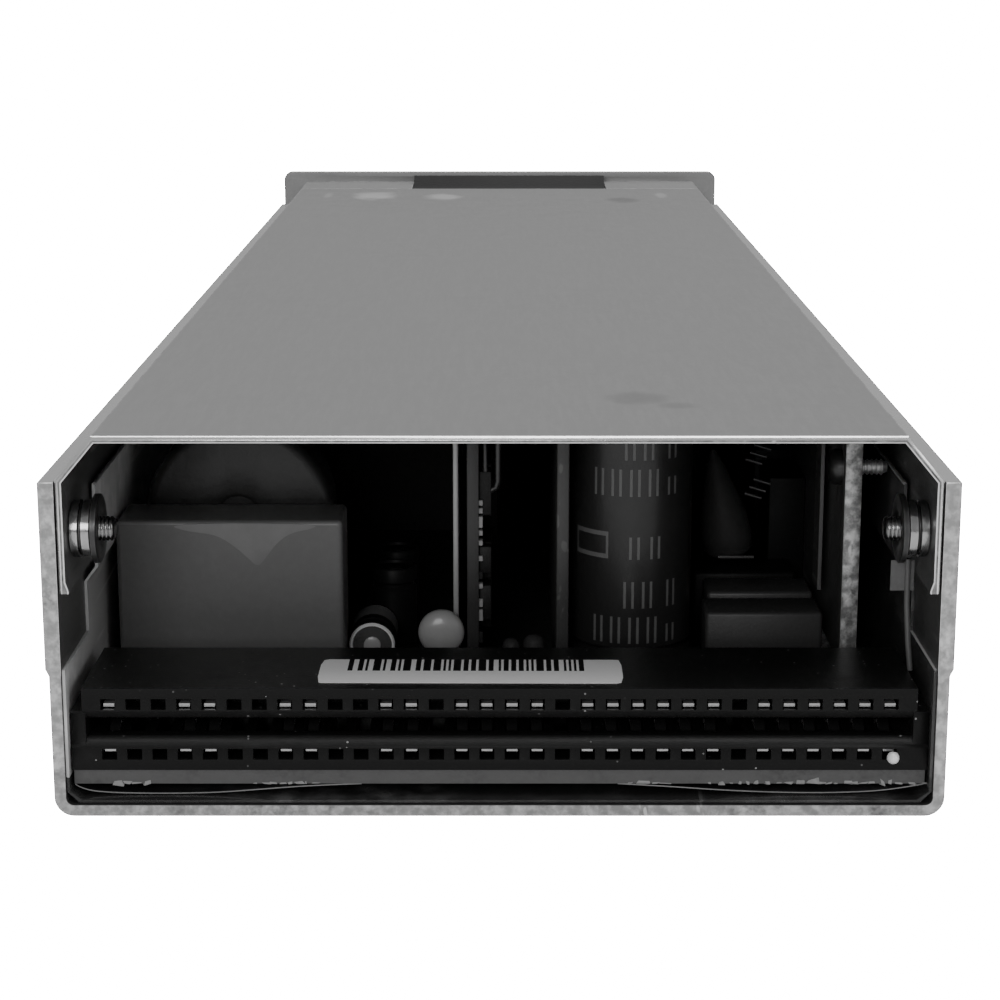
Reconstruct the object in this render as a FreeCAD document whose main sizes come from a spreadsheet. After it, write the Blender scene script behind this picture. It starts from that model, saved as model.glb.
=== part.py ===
import FreeCAD, Part
import math
import os
import Sketcher

# A 3.5 inch wide, 1U high hot swap server power supply, in millimetres.
# +Z is up. The open mating end with the card edge connector faces -Y, and the
# faceplate with the fan grille, mains inlet, handle and release latch faces +Y.
# The origin is the middle of the whole supply, on the surface that it rests on.
# Depths are measured along +Y from the rim of the open end.

Vector = FreeCAD.Vector
doc = FreeCAD.newDocument("HotSwapSupply")

SIZES = {
    # sheet metal case
    "case_length": 254.0,
    "case_width": 89.8,
    "case_height": 39.2,
    "tray_sheet": 1.2,
    "tray_bend": 2.0,
    "wall_step": 0.2,
    "joggle_height": 14.8,
    "joggle_step": 0.35,
    "cover_sheet": 0.7,
    "cover_gap": 0.5,
    "slant_reach": 3.7,
    "slant_drop": 4.4,
    "skirt_drop": 11.5,
    "skirt_flare": 0.3,
    # faceplate
    "plate_sheet": 1.5,
    "plate_inset": 0.2,
    "plate_rise": 2.1,
    "plate_corner": 1.7,
    "shelf_reach": 14.0,
    "shelf_skirt": 4.0,
    "tab_reach": 9.0,
    "seam_gap": 0.3,
    # cover fasteners
    "screw_radius": 1.25,
    "screw_play": 0.15,
    "thread_play": 0.03,
    "head_radius": 2.4,
    "head_thickness": 1.5,
    "screw_drop": 6.05,
    "screw_inset": 5.0,
    "nut_radius": 2.9,
    "nut_length": 2.2,
    "washer_radius": 3.5,
    "washer_thickness": 0.7,
    "screw_stub": 1.4,
    # main board, its seats and the insulating film round it
    "board_thickness": 1.6,
    "board_lift": 1.7,
    "board_side_gap": 0.6,
    "board_setback": 1.6,
    "board_fan_gap": 5.4,
    "tongue_gap": 4.0,
    "film_thickness": 0.3,
    "film_rise": 2.5,
    "film_notch": 14.0,
    "film_setback": 0.4,
    "film_jog": 2.6,
    "notch_rise": 0.5,
    "nut_room": 1.2,
    "seat_radius": 2.6,
    "seat_margin": 0.4,
    "seat_front_gap": 3.4,
    # card edge connector
    "pole_pitch": 2.54,
    "pole_margin": 2.3,
    "face_setback": 1.2,
    "connector_depth": 13.8,
    "connector_height": 8.6,
    "ear_gap": 0.5,
    "ear_step": 1.2,
    "card_slot": 1.9,
    "card_slot_depth": 9.5,
    "slot_end": 1.6,
    "lead_in": 0.95,
    "cavity_width": 1.5,
    "cavity_height": 1.15,
    "cavity_offset": 2.64,
    "window_inset": 2.4,
    "contact_sheet": 0.35,
    "contact_width": 1.1,
    # release latch
    "latch_width": 38.4,
    "latch_centre": 1.9,
    "latch_play": 0.4,
    "latch_thickness": 1.6,
    "latch_sink": 0.2,
    "latch_catch": 1.7,
    "catch_reach": 5.5,
    "catch_gap": 2.0,
    "latch_pad": 13.0,
    "pad_gap": 2.4,
    "pad_lip": 1.1,
    "pad_taper": 5.0,
    "rib_pitch": 2.0,
    "rib_width": 0.8,
    "pin_radius": 0.8,
    "pin_play": 0.05,
    "pivot_depth": 11.2,
    "pivot_drop": 2.4,
    "latch_window": 3.2,
    "spring_wire": 0.6,
    "spring_width": 5.0,
    "spring_leg": 8.0,
    "spring_tail": 2.5,
    "spring_room": 1.5,
    # pull handle
    "handle_reach": 27.0,
    "handle_grip": 2.6,
    "handle_width": 7.5,
    "handle_bend": 6.5,
    "handle_edge": 0.9,
    "handle_low": 6.0,
    "handle_drop": 10.4,
    "handle_thread": 6.0,
    # fan and its bulkhead
    "fan_headroom": 0.9,
    "fan_depth": 28.0,
    "fan_wall": 0.8,
    "fan_side_gap": 3.7,
    "fan_lift": 0.4,
    "fan_setback": 14.0,
    "fan_flange": 4.0,
    "fan_corner": 2.2,
    "fan_hole_inset": 2.6,
    "tip_gap": 1.25,
    "hub_radius": 9.0,
    "hub_length": 21.0,
    "hub_nose": 1.6,
    "hub_gap": 0.5,
    "blade_count": 7.0,
    "blade_thickness": 1.1,
    "blade_root": 14.5,
    "blade_tip": 17.0,
    "blade_pitch": 42.0,
    "strut_width": 2.2,
    "boss_thickness": 3.2,
    "shaft_radius": 1.5,
    "shaft_play": 0.05,
    "bulkhead_sheet": 0.8,
    "bulkhead_foot": 8.0,
    "fan_screw": 8.0,
    "fan_screw_head": 1.2,
    "fan_screw_rim": 2.1,
    "bulkhead_edge": 3.0,
    "grille_web": 1.9,
    "grille_slot": 3.1,
    "grille_centre": 3.0,
    # mains inlet
    "inlet_side_gap": 1.1,
    "inlet_height": 16.4,
    "inlet_cavity_width": 24.6,
    "inlet_cavity_height": 16.6,
    "inlet_cavity_depth": 17.0,
    "inlet_corner": 4.5,
    "inlet_wall": 1.4,
    "inlet_flange": 1.7,
    "inlet_rim": 1.3,
    "inlet_pin_pitch": 14.0,
    "inlet_pin_width": 4.0,
    "inlet_pin_thickness": 2.0,
    "inlet_pin_stagger": 2.0,
    "inlet_pin_recess": 2.5,
    "inlet_tail": 3.0,
    # lights
    "light_radius": 1.5,
    "light_pitch": 8.0,
    "light_drop": 4.6,
    "light_stem": 4.5,
    "light_offset": 4.0,
    # parts on the main board, towards the open end
    "case_clearance": 1.4,
    "side_clearance": 0.3,
    "potted_right": 17.15,
    "potted_setback": 9.0,
    "potted_depth": 8.2,
    "potted_height": 20.2,
    "potted_round": 0.6,
    "toroid_radius": 10.6,
    "toroid_eye": 1.5,
    "toroid_width": 8.5,
    "toroid_height": 18.4,
    "toroid_gap": 1.2,
    "cradle_height": 13.0,
    "small_can_radius": 2.6,
    "small_can_height": 7.4,
    "small_can_rise": 2.0,
    "small_can_pitch": 8.2,
    "small_can_gap": 0.2,
    "small_can_setback": 13.5,
    "bead_radius": 2.6,
    "bead_thickness": 2.6,
    "bead_height": 6.6,
    "bead_place": 6.5,
    "bead_setback": 10.9,
    "lead_radius": 0.35,
    "control_place": 3.6,
    "control_setback": 11.4,
    "control_depth": 22.2,
    "control_sheet": 1.3,
    "chip_height": 1.4,
    "strip_place": 5.2,
    "strip_sheet": 0.6,
    "strip_setback": 15.0,
    "strip_length": 66.0,
    "sink_place": 6.3,
    "sink_sheet": 1.4,
    "sink_setback": 12.0,
    "sink_length": 83.0,
    "bar_inset": 5.05,
    "bar_sheet": 1.8,
    "bar_setback": 4.8,
    "bar_length": 84.2,
    "bar_lift": 5.2,
    "bar_corner": 2.5,
    "bar_foot": 14.2,
    "bar_screw_radius": 0.9,
    "bar_screw_setback": 3.2,
    "bar_screw_drop": 6.1,
    "bar_screw_reach": 3.1,
    "bar_screw_head": 2.0,
    "package_width": 10.2,
    "package_height": 15.0,
    "package_thickness": 4.4,
    "package_lift": 4.0,
    "package_pitch": 16.0,
    "package_setback": 35.0,
    "leg_width": 0.8,
    "leg_pitch": 2.7,
    "output_can_radius": 6.8,
    "output_can_headroom": 3.5,
    "output_can_place": 14.9,
    "output_can_setback": 18.0,
    "output_can_gap": 1.0,
    "can_bung": 1.2,
    "can_bung_step": 0.5,
    "film_box_left": 22.9,
    "film_box_gap": 1.0,
    "film_box_depth": 6.2,
    "film_box_height": 9.2,
    "film_box_pitch": 8.4,
    "film_box_width": 13.0,
    "film_box_step": 0.9,
    "film_box_setback": 11.0,
    # parts on the main board, towards the fan
    "core_width": 33.0,
    "core_length": 34.0,
    "core_height": 27.0,
    "core_shell": 5.4,
    "core_end": 7.0,
    "core_leg": 6.5,
    "core_side_gap": 4.45,
    "core_setback": 83.0,
    "winding_radius": 9.7,
    "winding_play": 0.2,
    "bulk_can_headroom": 2.8,
    "bulk_can_lift": 0.2,
    "bulk_can_length": 46.0,
    "bulk_can_inset": 2.6,
    "bulk_can_gap": 1.7,
    "boost_radius": 12.0,
    "boost_eye": 4.6,
    "boost_width": 12.0,
    "boost_side_gap": 4.0,
    "boost_inset": 34.6,
    "bridge_width": 22.0,
    "bridge_thickness": 4.6,
    "bridge_height": 19.0,
    "bridge_lift": 3.0,
    "bridge_side_gap": 2.0,
    "bridge_inset": 22.0,
    "bridge_leg_pitch": 5.4,
    "filter_width": 20.0,
    "filter_depth": 14.0,
    "filter_height": 16.0,
    "filter_frame": 5.0,
    "filter_place": 10.0,
    "filter_setback": 101.0,
    "fuse_radius": 2.5,
    "fuse_length": 18.0,
    "fuse_height": 4.2,
    "fuse_side_gap": 5.45,
    "fuse_inset": 10.6,
    "clip_width": 6.6,
    "clip_depth": 4.0,
    "clip_height": 6.0,
    "clip_margin": 1.0,
    "clip_play": 0.05,
}

EMPTY_POLES = (1, 2, 5, 6, 9, 10, 13, 18, 25)


class Dim:
    """A length that carries its value and the sheet expression behind it."""

    def __init__(self, value, text):
        self.value = value
        self.text = text

    def __add__(self, other):
        other = dim(other)
        return Dim(self.value + other.value, "(%s + %s)" % (self.text, other.text))

    def __sub__(self, other):
        other = dim(other)
        return Dim(self.value - other.value, "(%s - %s)" % (self.text, other.text))

    def __mul__(self, other):
        other = dim(other)
        return Dim(self.value * other.value, "(%s * %s)" % (self.text, other.text))

    def __truediv__(self, other):
        other = dim(other)
        return Dim(self.value / other.value, "(%s / %s)" % (self.text, other.text))

    def __neg__(self):
        return Dim(-self.value, "(0 - %s)" % self.text)

    def __radd__(self, other):
        return dim(other) + self

    def __rsub__(self, other):
        return dim(other) - self

    def __rmul__(self, other):
        return dim(other) * self


def dim(value):
    """Give a plain number the form of a Dim."""
    if isinstance(value, Dim):
        return value
    if value < 0:
        return Dim(float(value), "(0 - %.6f)" % -value)
    return Dim(float(value), "%.6f" % value)


def make_sheet():
    """Write the driving dimensions to the spreadsheet, one alias a row."""
    sheet = doc.addObject("Spreadsheet::Sheet", "Sizes")
    for row, (alias, value) in enumerate(SIZES.items(), start=1):
        sheet.set("A%d" % row, alias)
        sheet.set("B%d" % row, "%s" % value)
        sheet.setAlias("B%d" % row, alias)
    doc.recompute()
    return {alias: Dim(value, "Sizes.%s" % alias) for alias, value in SIZES.items()}


S = make_sheet()
NODES = []


# ---------------------------------------------------------------- helpers

def bind(item, prop, size):
    """Drive a property from the sheet."""
    item.setExpression(prop, dim(size).text)


def place(item, x, y, z, rotation=None):
    """Put an object at a place that follows the sheet."""
    turn = rotation or FreeCAD.Rotation()
    spot = [dim(x), dim(y), dim(z)]
    item.Placement = FreeCAD.Placement(Vector(*[size.value for size in spot]), turn)
    for axis, size in zip("xyz", spot):
        bind(item, "Placement.Base.%s" % axis, size)
    return item


def node(item, label):
    """Name an object as a sub-part of the supply."""
    item.Label = label
    NODES.append(item)
    return item


def box(name, x, depth, z):
    """A block between two values on each axis; depth counts from the rim."""
    block = doc.addObject("Part::Box", name)
    spans = [[dim(low), dim(high)] for low, high in (x, depth, z)]
    for prop, (low, high) in zip(("Length", "Width", "Height"), spans):
        bind(block, prop, high - low)
    return place(block, spans[0][0], RIM + spans[1][0], spans[2][0])


AXIS_TURN = {
    "X": FreeCAD.Rotation(Vector(0, 0, 1), Vector(1, 0, 0)),
    "Y": FreeCAD.Rotation(Vector(0, 0, 1), Vector(0, 1, 0)),
    "Z": FreeCAD.Rotation(),
    "-X": FreeCAD.Rotation(Vector(0, 0, 1), Vector(-1, 0, 0)),
}


def prism(name, radius, length, x, depth, z):
    """An upright six-sided post that starts at a point."""
    post = doc.addObject("Part::Prism", name)
    post.Polygon = 6
    bind(post, "Circumradius", radius)
    bind(post, "Height", length)
    return place(post, x, RIM + dim(depth), z)


def mirrored(side, near, far):
    """A span between two distances from the middle, on the side given by 1 or -1."""
    return (dim(near), dim(far)) if side > 0 else (-dim(far), -dim(near))


def rod(name, radius, length, x, depth, z, axis="Z"):
    """A cylinder that starts at a point and runs along an axis."""
    bar = doc.addObject("Part::Cylinder", name)
    bind(bar, "Radius", radius)
    bind(bar, "Height", length)
    return place(bar, x, RIM + dim(depth), z, AXIS_TURN[axis])


def taper(name, radius_1, radius_2, length, x, depth, z, axis="Z"):
    """A cone frustum that starts at a point and runs along an axis."""
    cone = doc.addObject("Part::Cone", name)
    bind(cone, "Radius1", radius_1)
    bind(cone, "Radius2", radius_2)
    bind(cone, "Height", length)
    return place(cone, x, RIM + dim(depth), z, AXIS_TURN[axis])


def fuse(name, items):
    """Join overlapping or touching objects into one."""
    joined = doc.addObject("Part::MultiFuse", name)
    joined.Shapes = items
    joined.Refine = True
    return joined


def cut(name, base, tool):
    """Take one object out of another."""
    result = doc.addObject("Part::Cut", name)
    result.Base = base
    result.Tool = tool
    return result


def group(name, items):
    """Keep several separate solids together."""
    bundle = doc.addObject("Part::Compound", name)
    bundle.Links = items
    return bundle


def origin_feature(body, role):
    """Find a plane or axis of a body's own origin."""
    return [item for item in body.Origin.OriginFeatures if item.Role == role][0]


def new_body(name):
    """A body whose own origin lies at the middle of the open end's rim."""
    body = doc.addObject("PartDesign::Body", name)
    place(body, 0, RIM, 0)
    return body


def new_sketch(body, plane, name, offset=None):
    """A sketch on one of the body's origin planes, at an offset along its normal."""
    sketch = body.newObject("Sketcher::SketchObject", name)
    sketch.AttachmentSupport = [(origin_feature(body, plane), "")]
    sketch.MapMode = "FlatFace"
    if offset is not None:
        spot = Vector(0, 0, dim(offset).value)
        sketch.AttachmentOffset = FreeCAD.Placement(spot, FreeCAD.Rotation())
        bind(sketch, "AttachmentOffset.Base.z", offset)
    return sketch


def pin_point(sketch, item, end, spot):
    """Hold one point of a sketch at its distances from the origin."""
    for kind, size in zip(("DistanceX", "DistanceY"), spot):
        size = dim(size)
        number = sketch.addConstraint(Sketcher.Constraint(kind, -1, 1, item, end, size.value))
        bind(sketch, "Constraints[%d]" % number, size)


def polygon(sketch, points):
    """Draw a closed outline of straight lines."""
    spots = [Vector(dim(a).value, dim(b).value, 0) for a, b in points]
    first = sketch.GeometryCount
    count = len(points)
    for i in range(count):
        sketch.addGeometry(Part.LineSegment(spots[i], spots[(i + 1) % count]), False)
    for i in range(count):
        joint = Sketcher.Constraint("Coincident", first + i, 2, first + (i + 1) % count, 1)
        sketch.addConstraint(joint)
        pin_point(sketch, first + i, 1, points[i])
    return sketch


def rectangle(sketch, x, y):
    """Draw a rectangle between two values on each axis."""
    corners = [(x[0], y[0]), (x[1], y[0]), (x[1], y[1]), (x[0], y[1])]
    return polygon(sketch, corners)


def circle(sketch, x, y, radius):
    """Draw a circle at a point."""
    middle = Vector(dim(x).value, dim(y).value, 0)
    item = sketch.addGeometry(Part.Circle(middle, Vector(0, 0, 1), dim(radius).value), False)
    pin_point(sketch, item, 3, (x, y))
    number = sketch.addConstraint(Sketcher.Constraint("Radius", item, dim(radius).value))
    bind(sketch, "Constraints[%d]" % number, radius)
    return sketch


def solid_feature(body, kind, name, sketch, length, midplane=False, away=False):
    """Pad or pocket a sketch; away turns it against the sketch's normal."""
    feature = body.newObject("PartDesign::%s" % kind, name)
    feature.Profile = sketch
    feature.Length = dim(length).value
    bind(feature, "Length", length)
    feature.Midplane = midplane
    feature.Reversed = away
    sketch.Visibility = False
    return feature


def edges_near(shape, test):
    """Names of the edges whose middle passes a test."""
    names = []
    for number, edge in enumerate(shape.Edges, start=1):
        middle = edge.CenterOfMass
        ends = [vertex.Point for vertex in edge.Vertexes]
        if len(ends) == 2 and test(middle, (ends[1] - ends[0]).normalize()):
            names.append("Edge%d" % number)
    return names


def dress(body, kind, name, base, edges, size):
    """Fillet or chamfer some edges of a feature."""
    feature = body.newObject("PartDesign::%s" % kind, name)
    feature.Base = (base, edges)
    prop = "Radius" if kind == "Fillet" else "Size"
    setattr(feature, prop, dim(size).value)
    bind(feature, prop, size)
    return feature


def close(a, b):
    """Two lengths that are the same for picking an edge."""
    return abs(a - dim(b).value) < 0.02


def along_y(direction):
    """An edge that runs the length of the case."""
    return abs(direction.y) > 0.999


# ---------------------------------------------------------------- shared places

OVERALL = S["case_length"] + S["plate_sheet"] + S["handle_reach"]
RIM = -(OVERALL / 2)
HALF = S["case_width"] / 2
INNER = HALF - S["tray_sheet"]
BAR = HALF + S["joggle_step"]
BAR_INNER = BAR - S["tray_sheet"]
SKIRT = BAR_INNER - S["cover_gap"]
SKIRT_INNER = SKIRT - S["cover_sheet"]
SLANT_TOP = SKIRT - S["slant_reach"]
SLANT_FOOT = S["case_height"] - S["slant_drop"]
WALL_TOP = SLANT_FOOT - S["wall_step"]
SKIRT_END = SLANT_FOOT - S["skirt_drop"]
SCREW_HEIGHT = SLANT_FOOT - S["screw_drop"]
COVER_LENGTH = S["case_length"] - S["shelf_reach"] - S["seam_gap"]
BOARD_LOW = S["tray_sheet"] + S["board_lift"]
BOARD_TOP = BOARD_LOW + S["board_thickness"]
BOARD_HALF = INNER - S["board_side_gap"]
ROOF = S["case_height"] - S["cover_sheet"]
HEADROOM = ROOF - BOARD_TOP
PLATE_HEIGHT = S["case_height"] + S["plate_rise"]
LIGHT_HEIGHT = S["case_height"] - S["light_drop"]
FACE = S["case_length"] + S["plate_sheet"]
SLOT_MIDDLE = BOARD_TOP + S["connector_height"] / 2
CONNECTOR_BACK = S["face_setback"] + S["connector_depth"]
FAN_SQUARE = ROOF - S["tray_sheet"] - S["fan_lift"] - S["fan_headroom"]
FAN_BORE = FAN_SQUARE - S["fan_wall"] * 2
FAN_HEIGHT = S["tray_sheet"] + S["fan_lift"] + FAN_SQUARE / 2
FAN_LEFT = -(INNER - S["fan_side_gap"])
FAN_CENTRE = FAN_LEFT + FAN_SQUARE / 2
FAN_RIGHT = FAN_LEFT + FAN_SQUARE
FAN_END = S["case_length"] - S["fan_setback"]
FAN_FRONT = FAN_END - S["fan_depth"]
BOARD_END = FAN_FRONT - S["board_fan_gap"]
SCREW_DEPTHS = (S["screw_inset"], FAN_FRONT - S["screw_inset"] * 2)
INLET_HALF_WIDTH = S["inlet_cavity_width"] / 2 + S["inlet_wall"]
INLET_HALF_HEIGHT = S["inlet_cavity_height"] / 2 + S["inlet_wall"]
INLET_CENTRE = INNER - S["inlet_side_gap"] - INLET_HALF_WIDTH - S["inlet_rim"]
INLET_REAR = FACE + S["inlet_flange"] - S["inlet_cavity_depth"] - S["inlet_wall"]
LATCH_HALF = S["latch_width"] / 2
PIVOT_DEPTH = S["case_length"] - S["pivot_depth"]
PIVOT_HEIGHT = S["case_height"] - S["pivot_drop"]
HANDLE_CENTRE = (FAN_RIGHT + INLET_CENTRE - INLET_HALF_WIDTH - S["inlet_rim"]) / 2
HANDLE_SCREWS = (("Low", S["handle_low"]), ("High", S["case_height"] - S["handle_drop"]))
SIDE = SKIRT_INNER - S["skirt_flare"] - S["film_thickness"] - S["side_clearance"]
BAR_PLACE = SIDE - S["bar_inset"]
EAR = INNER - S["ear_gap"]
CONNECTOR_HALF = EAR - S["ear_step"]
POLE_SPAN = (CONNECTOR_HALF - S["pole_margin"]) * 2
POLE_COUNT = Dim(POLE_SPAN.value // S["pole_pitch"].value + 1,
                 "(floor(%s / %s) + 1)" % (POLE_SPAN.text, S["pole_pitch"].text))
OVERLAP = dim(1.0)
PIN_FIT = dim(0.01)


def slanted_roof(sheet, foot, flare=None):
    """The folded roof outline: flat top, slanted shoulders and upright skirts."""
    lean = math.atan2(S["slant_reach"].value, S["slant_drop"].value)
    low_shift = sheet * math.tan(lean / 2)
    top_shift = sheet * math.tan((math.pi / 2 - lean) / 2)
    inner = SKIRT - sheet
    right = [
        (SKIRT, foot),
        (SKIRT, SLANT_FOOT),
        (SLANT_TOP, S["case_height"]),
    ]
    back = [
        (SLANT_TOP - top_shift, S["case_height"] - sheet),
        (inner, SLANT_FOOT - low_shift),
    ]
    if flare is None:
        back.append((inner, foot))
    else:
        back.append((inner, foot + flare * 4))
        back.append((inner - flare, foot + flare))
        back.append((inner - flare, foot))
    mirror = [(-x, z) for x, z in right]
    mirror_back = [(-x, z) for x, z in back]
    return right + mirror[::-1] + mirror_back[::-1] + back


# ---------------------------------------------------------------- sheet metal case

def make_tray():
    """The tray: floor and two side walls, joggled outwards above the connector."""
    body = new_body("Tray")
    step_top = S["joggle_height"] + S["joggle_step"] * 2
    right = [
        (HALF, 0),
        (HALF, S["joggle_height"]),
        (BAR, step_top),
        (BAR, WALL_TOP),
        (BAR_INNER, WALL_TOP),
        (BAR_INNER, step_top),
        (INNER, S["joggle_height"]),
        (INNER, S["tray_sheet"]),
    ]
    left = [(-x, z) for x, z in right]
    sketch = new_sketch(body, "XZ_Plane", "TrayOutline")
    polygon(sketch, right + left[::-1])
    pad = solid_feature(body, "Pad", "TrayPad", sketch, S["case_length"], away=True)
    doc.recompute()

    def outer_bend(middle, direction):
        return along_y(direction) and close(middle.z, 0) and close(abs(middle.x), HALF)

    def inner_bend(middle, direction):
        sheet = S["tray_sheet"]
        return along_y(direction) and close(middle.z, sheet) and close(abs(middle.x), INNER)

    outer = dress(body, "Fillet", "OuterBend", pad, edges_near(pad.Shape, outer_bend), S["tray_bend"])
    doc.recompute()
    inner_radius = S["tray_bend"] - S["tray_sheet"]
    dress(body, "Fillet", "InnerBend", outer, edges_near(outer.Shape, inner_bend), inner_radius)
    tools = []
    for number, depth in enumerate(SCREW_DEPTHS):
        for side, axis in ((1, "-X"), (-1, "X")):
            name = "TrayCountersink%d%s" % (number, "R" if side > 0 else "L")
            wide = S["head_radius"] + S["screw_play"]
            narrow = S["screw_radius"] + S["screw_play"]
            start = BAR * side
            tools.append(taper(name, wide, narrow, S["tray_sheet"], start, depth, SCREW_HEIGHT, axis))
            tools.append(rod(name + "Bore", narrow, S["tray_sheet"] * 2, start, depth, SCREW_HEIGHT, axis))
    for x, z in PLATE_SCREWS:
        narrow = S["screw_radius"] + S["screw_play"]
        side = 1 if x.value > 0 else -1
        name = "TrayPlateHole%s%d" % ("R" if side > 0 else "L", len(tools))
        start = (BAR + 1) * side
        axis = "-X" if side > 0 else "X"
        tools.append(rod(name, narrow, S["tray_sheet"] * 3, start, PLATE_SCREW_DEPTH, z, axis))
    node(cut("TrayDrilled", body, fuse("TrayDrills", tools)), "chassis_tray")


PLATE_SCREW_DEPTH = S["case_length"] - S["tab_reach"] / 2
PLATE_SCREWS = (
    (HALF, S["joggle_height"] / 2),
    (-HALF, S["joggle_height"] / 2),
    (BAR, SCREW_HEIGHT),
    (-BAR, SCREW_HEIGHT),
)


def make_cover():
    """The cover: one folded sheet whose skirts slide down inside the tray's walls."""
    body = new_body("Cover")
    sketch = new_sketch(body, "XZ_Plane", "CoverOutline")
    polygon(sketch, slanted_roof(S["cover_sheet"], SKIRT_END, S["skirt_flare"]))
    solid_feature(body, "Pad", "CoverPad", sketch, COVER_LENGTH, away=True)
    hole = S["screw_radius"] + S["screw_play"]
    drills = []
    for number, depth in enumerate(SCREW_DEPTHS):
        name = "CoverDrill%d" % number
        drills.append(rod(name, hole, S["case_width"], -HALF, depth, SCREW_HEIGHT, "X"))
    node(cut("CoverDrilled", body, fuse("CoverDrills", drills)), "top_cover")


def cover_screw(name, side, depth):
    """A countersunk screw that enters from the side and ends inside its nut."""
    axis = "-X" if side > 0 else "X"
    start = BAR * side
    reach = BAR - SKIRT_INNER + S["nut_length"] + S["washer_thickness"] + S["screw_stub"]
    head = taper(name + "Head", S["head_radius"], S["screw_radius"], S["tray_sheet"], start, depth,
                 SCREW_HEIGHT, axis)
    shank = rod(name + "Shank", S["screw_radius"], reach, start, depth, SCREW_HEIGHT, axis)
    return fuse(name, [head, shank])


def clinch_nut(name, side, depth):
    """A round clinch nut on the skirt, and the wider washer at its inner end."""
    axis = "-X" if side > 0 else "X"
    height = SCREW_HEIGHT
    parts = [
        rod(name + "Barrel", S["nut_radius"], S["nut_length"], SKIRT_INNER * side, depth, height, axis),
        rod(name + "Washer", S["washer_radius"], S["washer_thickness"],
            (SKIRT_INNER - S["nut_length"]) * side, depth, height, axis),
    ]
    through = S["nut_length"] + S["washer_thickness"] + OVERLAP * 2
    bore = rod(name + "Bore", S["screw_radius"] + S["thread_play"], through,
               (SKIRT_INNER + OVERLAP) * side, depth, height, axis)
    return cut(name, fuse(name + "Body", parts), bore)


def make_cover_fasteners():
    """Screws and clinch nuts down both sides of the cover."""
    screws = []
    nuts = []
    for number, depth in enumerate(SCREW_DEPTHS):
        for side in (1, -1):
            tag = "%d%s" % (number, "R" if side > 0 else "L")
            screws.append(cover_screw("CoverScrew" + tag, side, depth))
            nuts.append(clinch_nut("ClinchNut" + tag, side, depth))
    node(group("CoverScrews", screws), "cover_screws")
    node(group("ClinchNuts", nuts), "clinch_nuts")


# ---------------------------------------------------------------- faceplate

def grille_tool():
    """Rings less the webs between them: the air slots in front of the fan."""
    rings = []
    room = FAN_BORE / 2 - S["grille_centre"]
    count = int((room / (S["grille_slot"] + S["grille_web"])).value)
    pitch = S["grille_slot"] + S["grille_web"]
    start = S["case_length"] - OVERLAP
    thick = S["plate_sheet"] + OVERLAP * 2
    for i in range(count):
        outer = FAN_BORE / 2 - pitch * i
        name = "GrilleRing%d" % i
        disc = rod(name + "Outer", outer, thick, FAN_CENTRE, start, FAN_HEIGHT, "Y")
        core = rod(name + "Inner", outer - S["grille_slot"], thick, FAN_CENTRE, start, FAN_HEIGHT, "Y")
        rings.append(cut(name, disc, core))
    half_bore = FAN_BORE / 2
    webs = [
        box("GrilleWebUp", (FAN_CENTRE - S["grille_web"] / 2, FAN_CENTRE + S["grille_web"] / 2),
            (start, start + thick), (FAN_HEIGHT - half_bore, FAN_HEIGHT + half_bore)),
        box("GrilleWebAcross", (FAN_CENTRE - half_bore, FAN_CENTRE + half_bore),
            (start, start + thick), (FAN_HEIGHT - S["grille_web"] / 2, FAN_HEIGHT + S["grille_web"] / 2)),
    ]
    return cut("GrilleSlots", fuse("GrilleRings", rings), fuse("GrilleWebs", webs))


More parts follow.
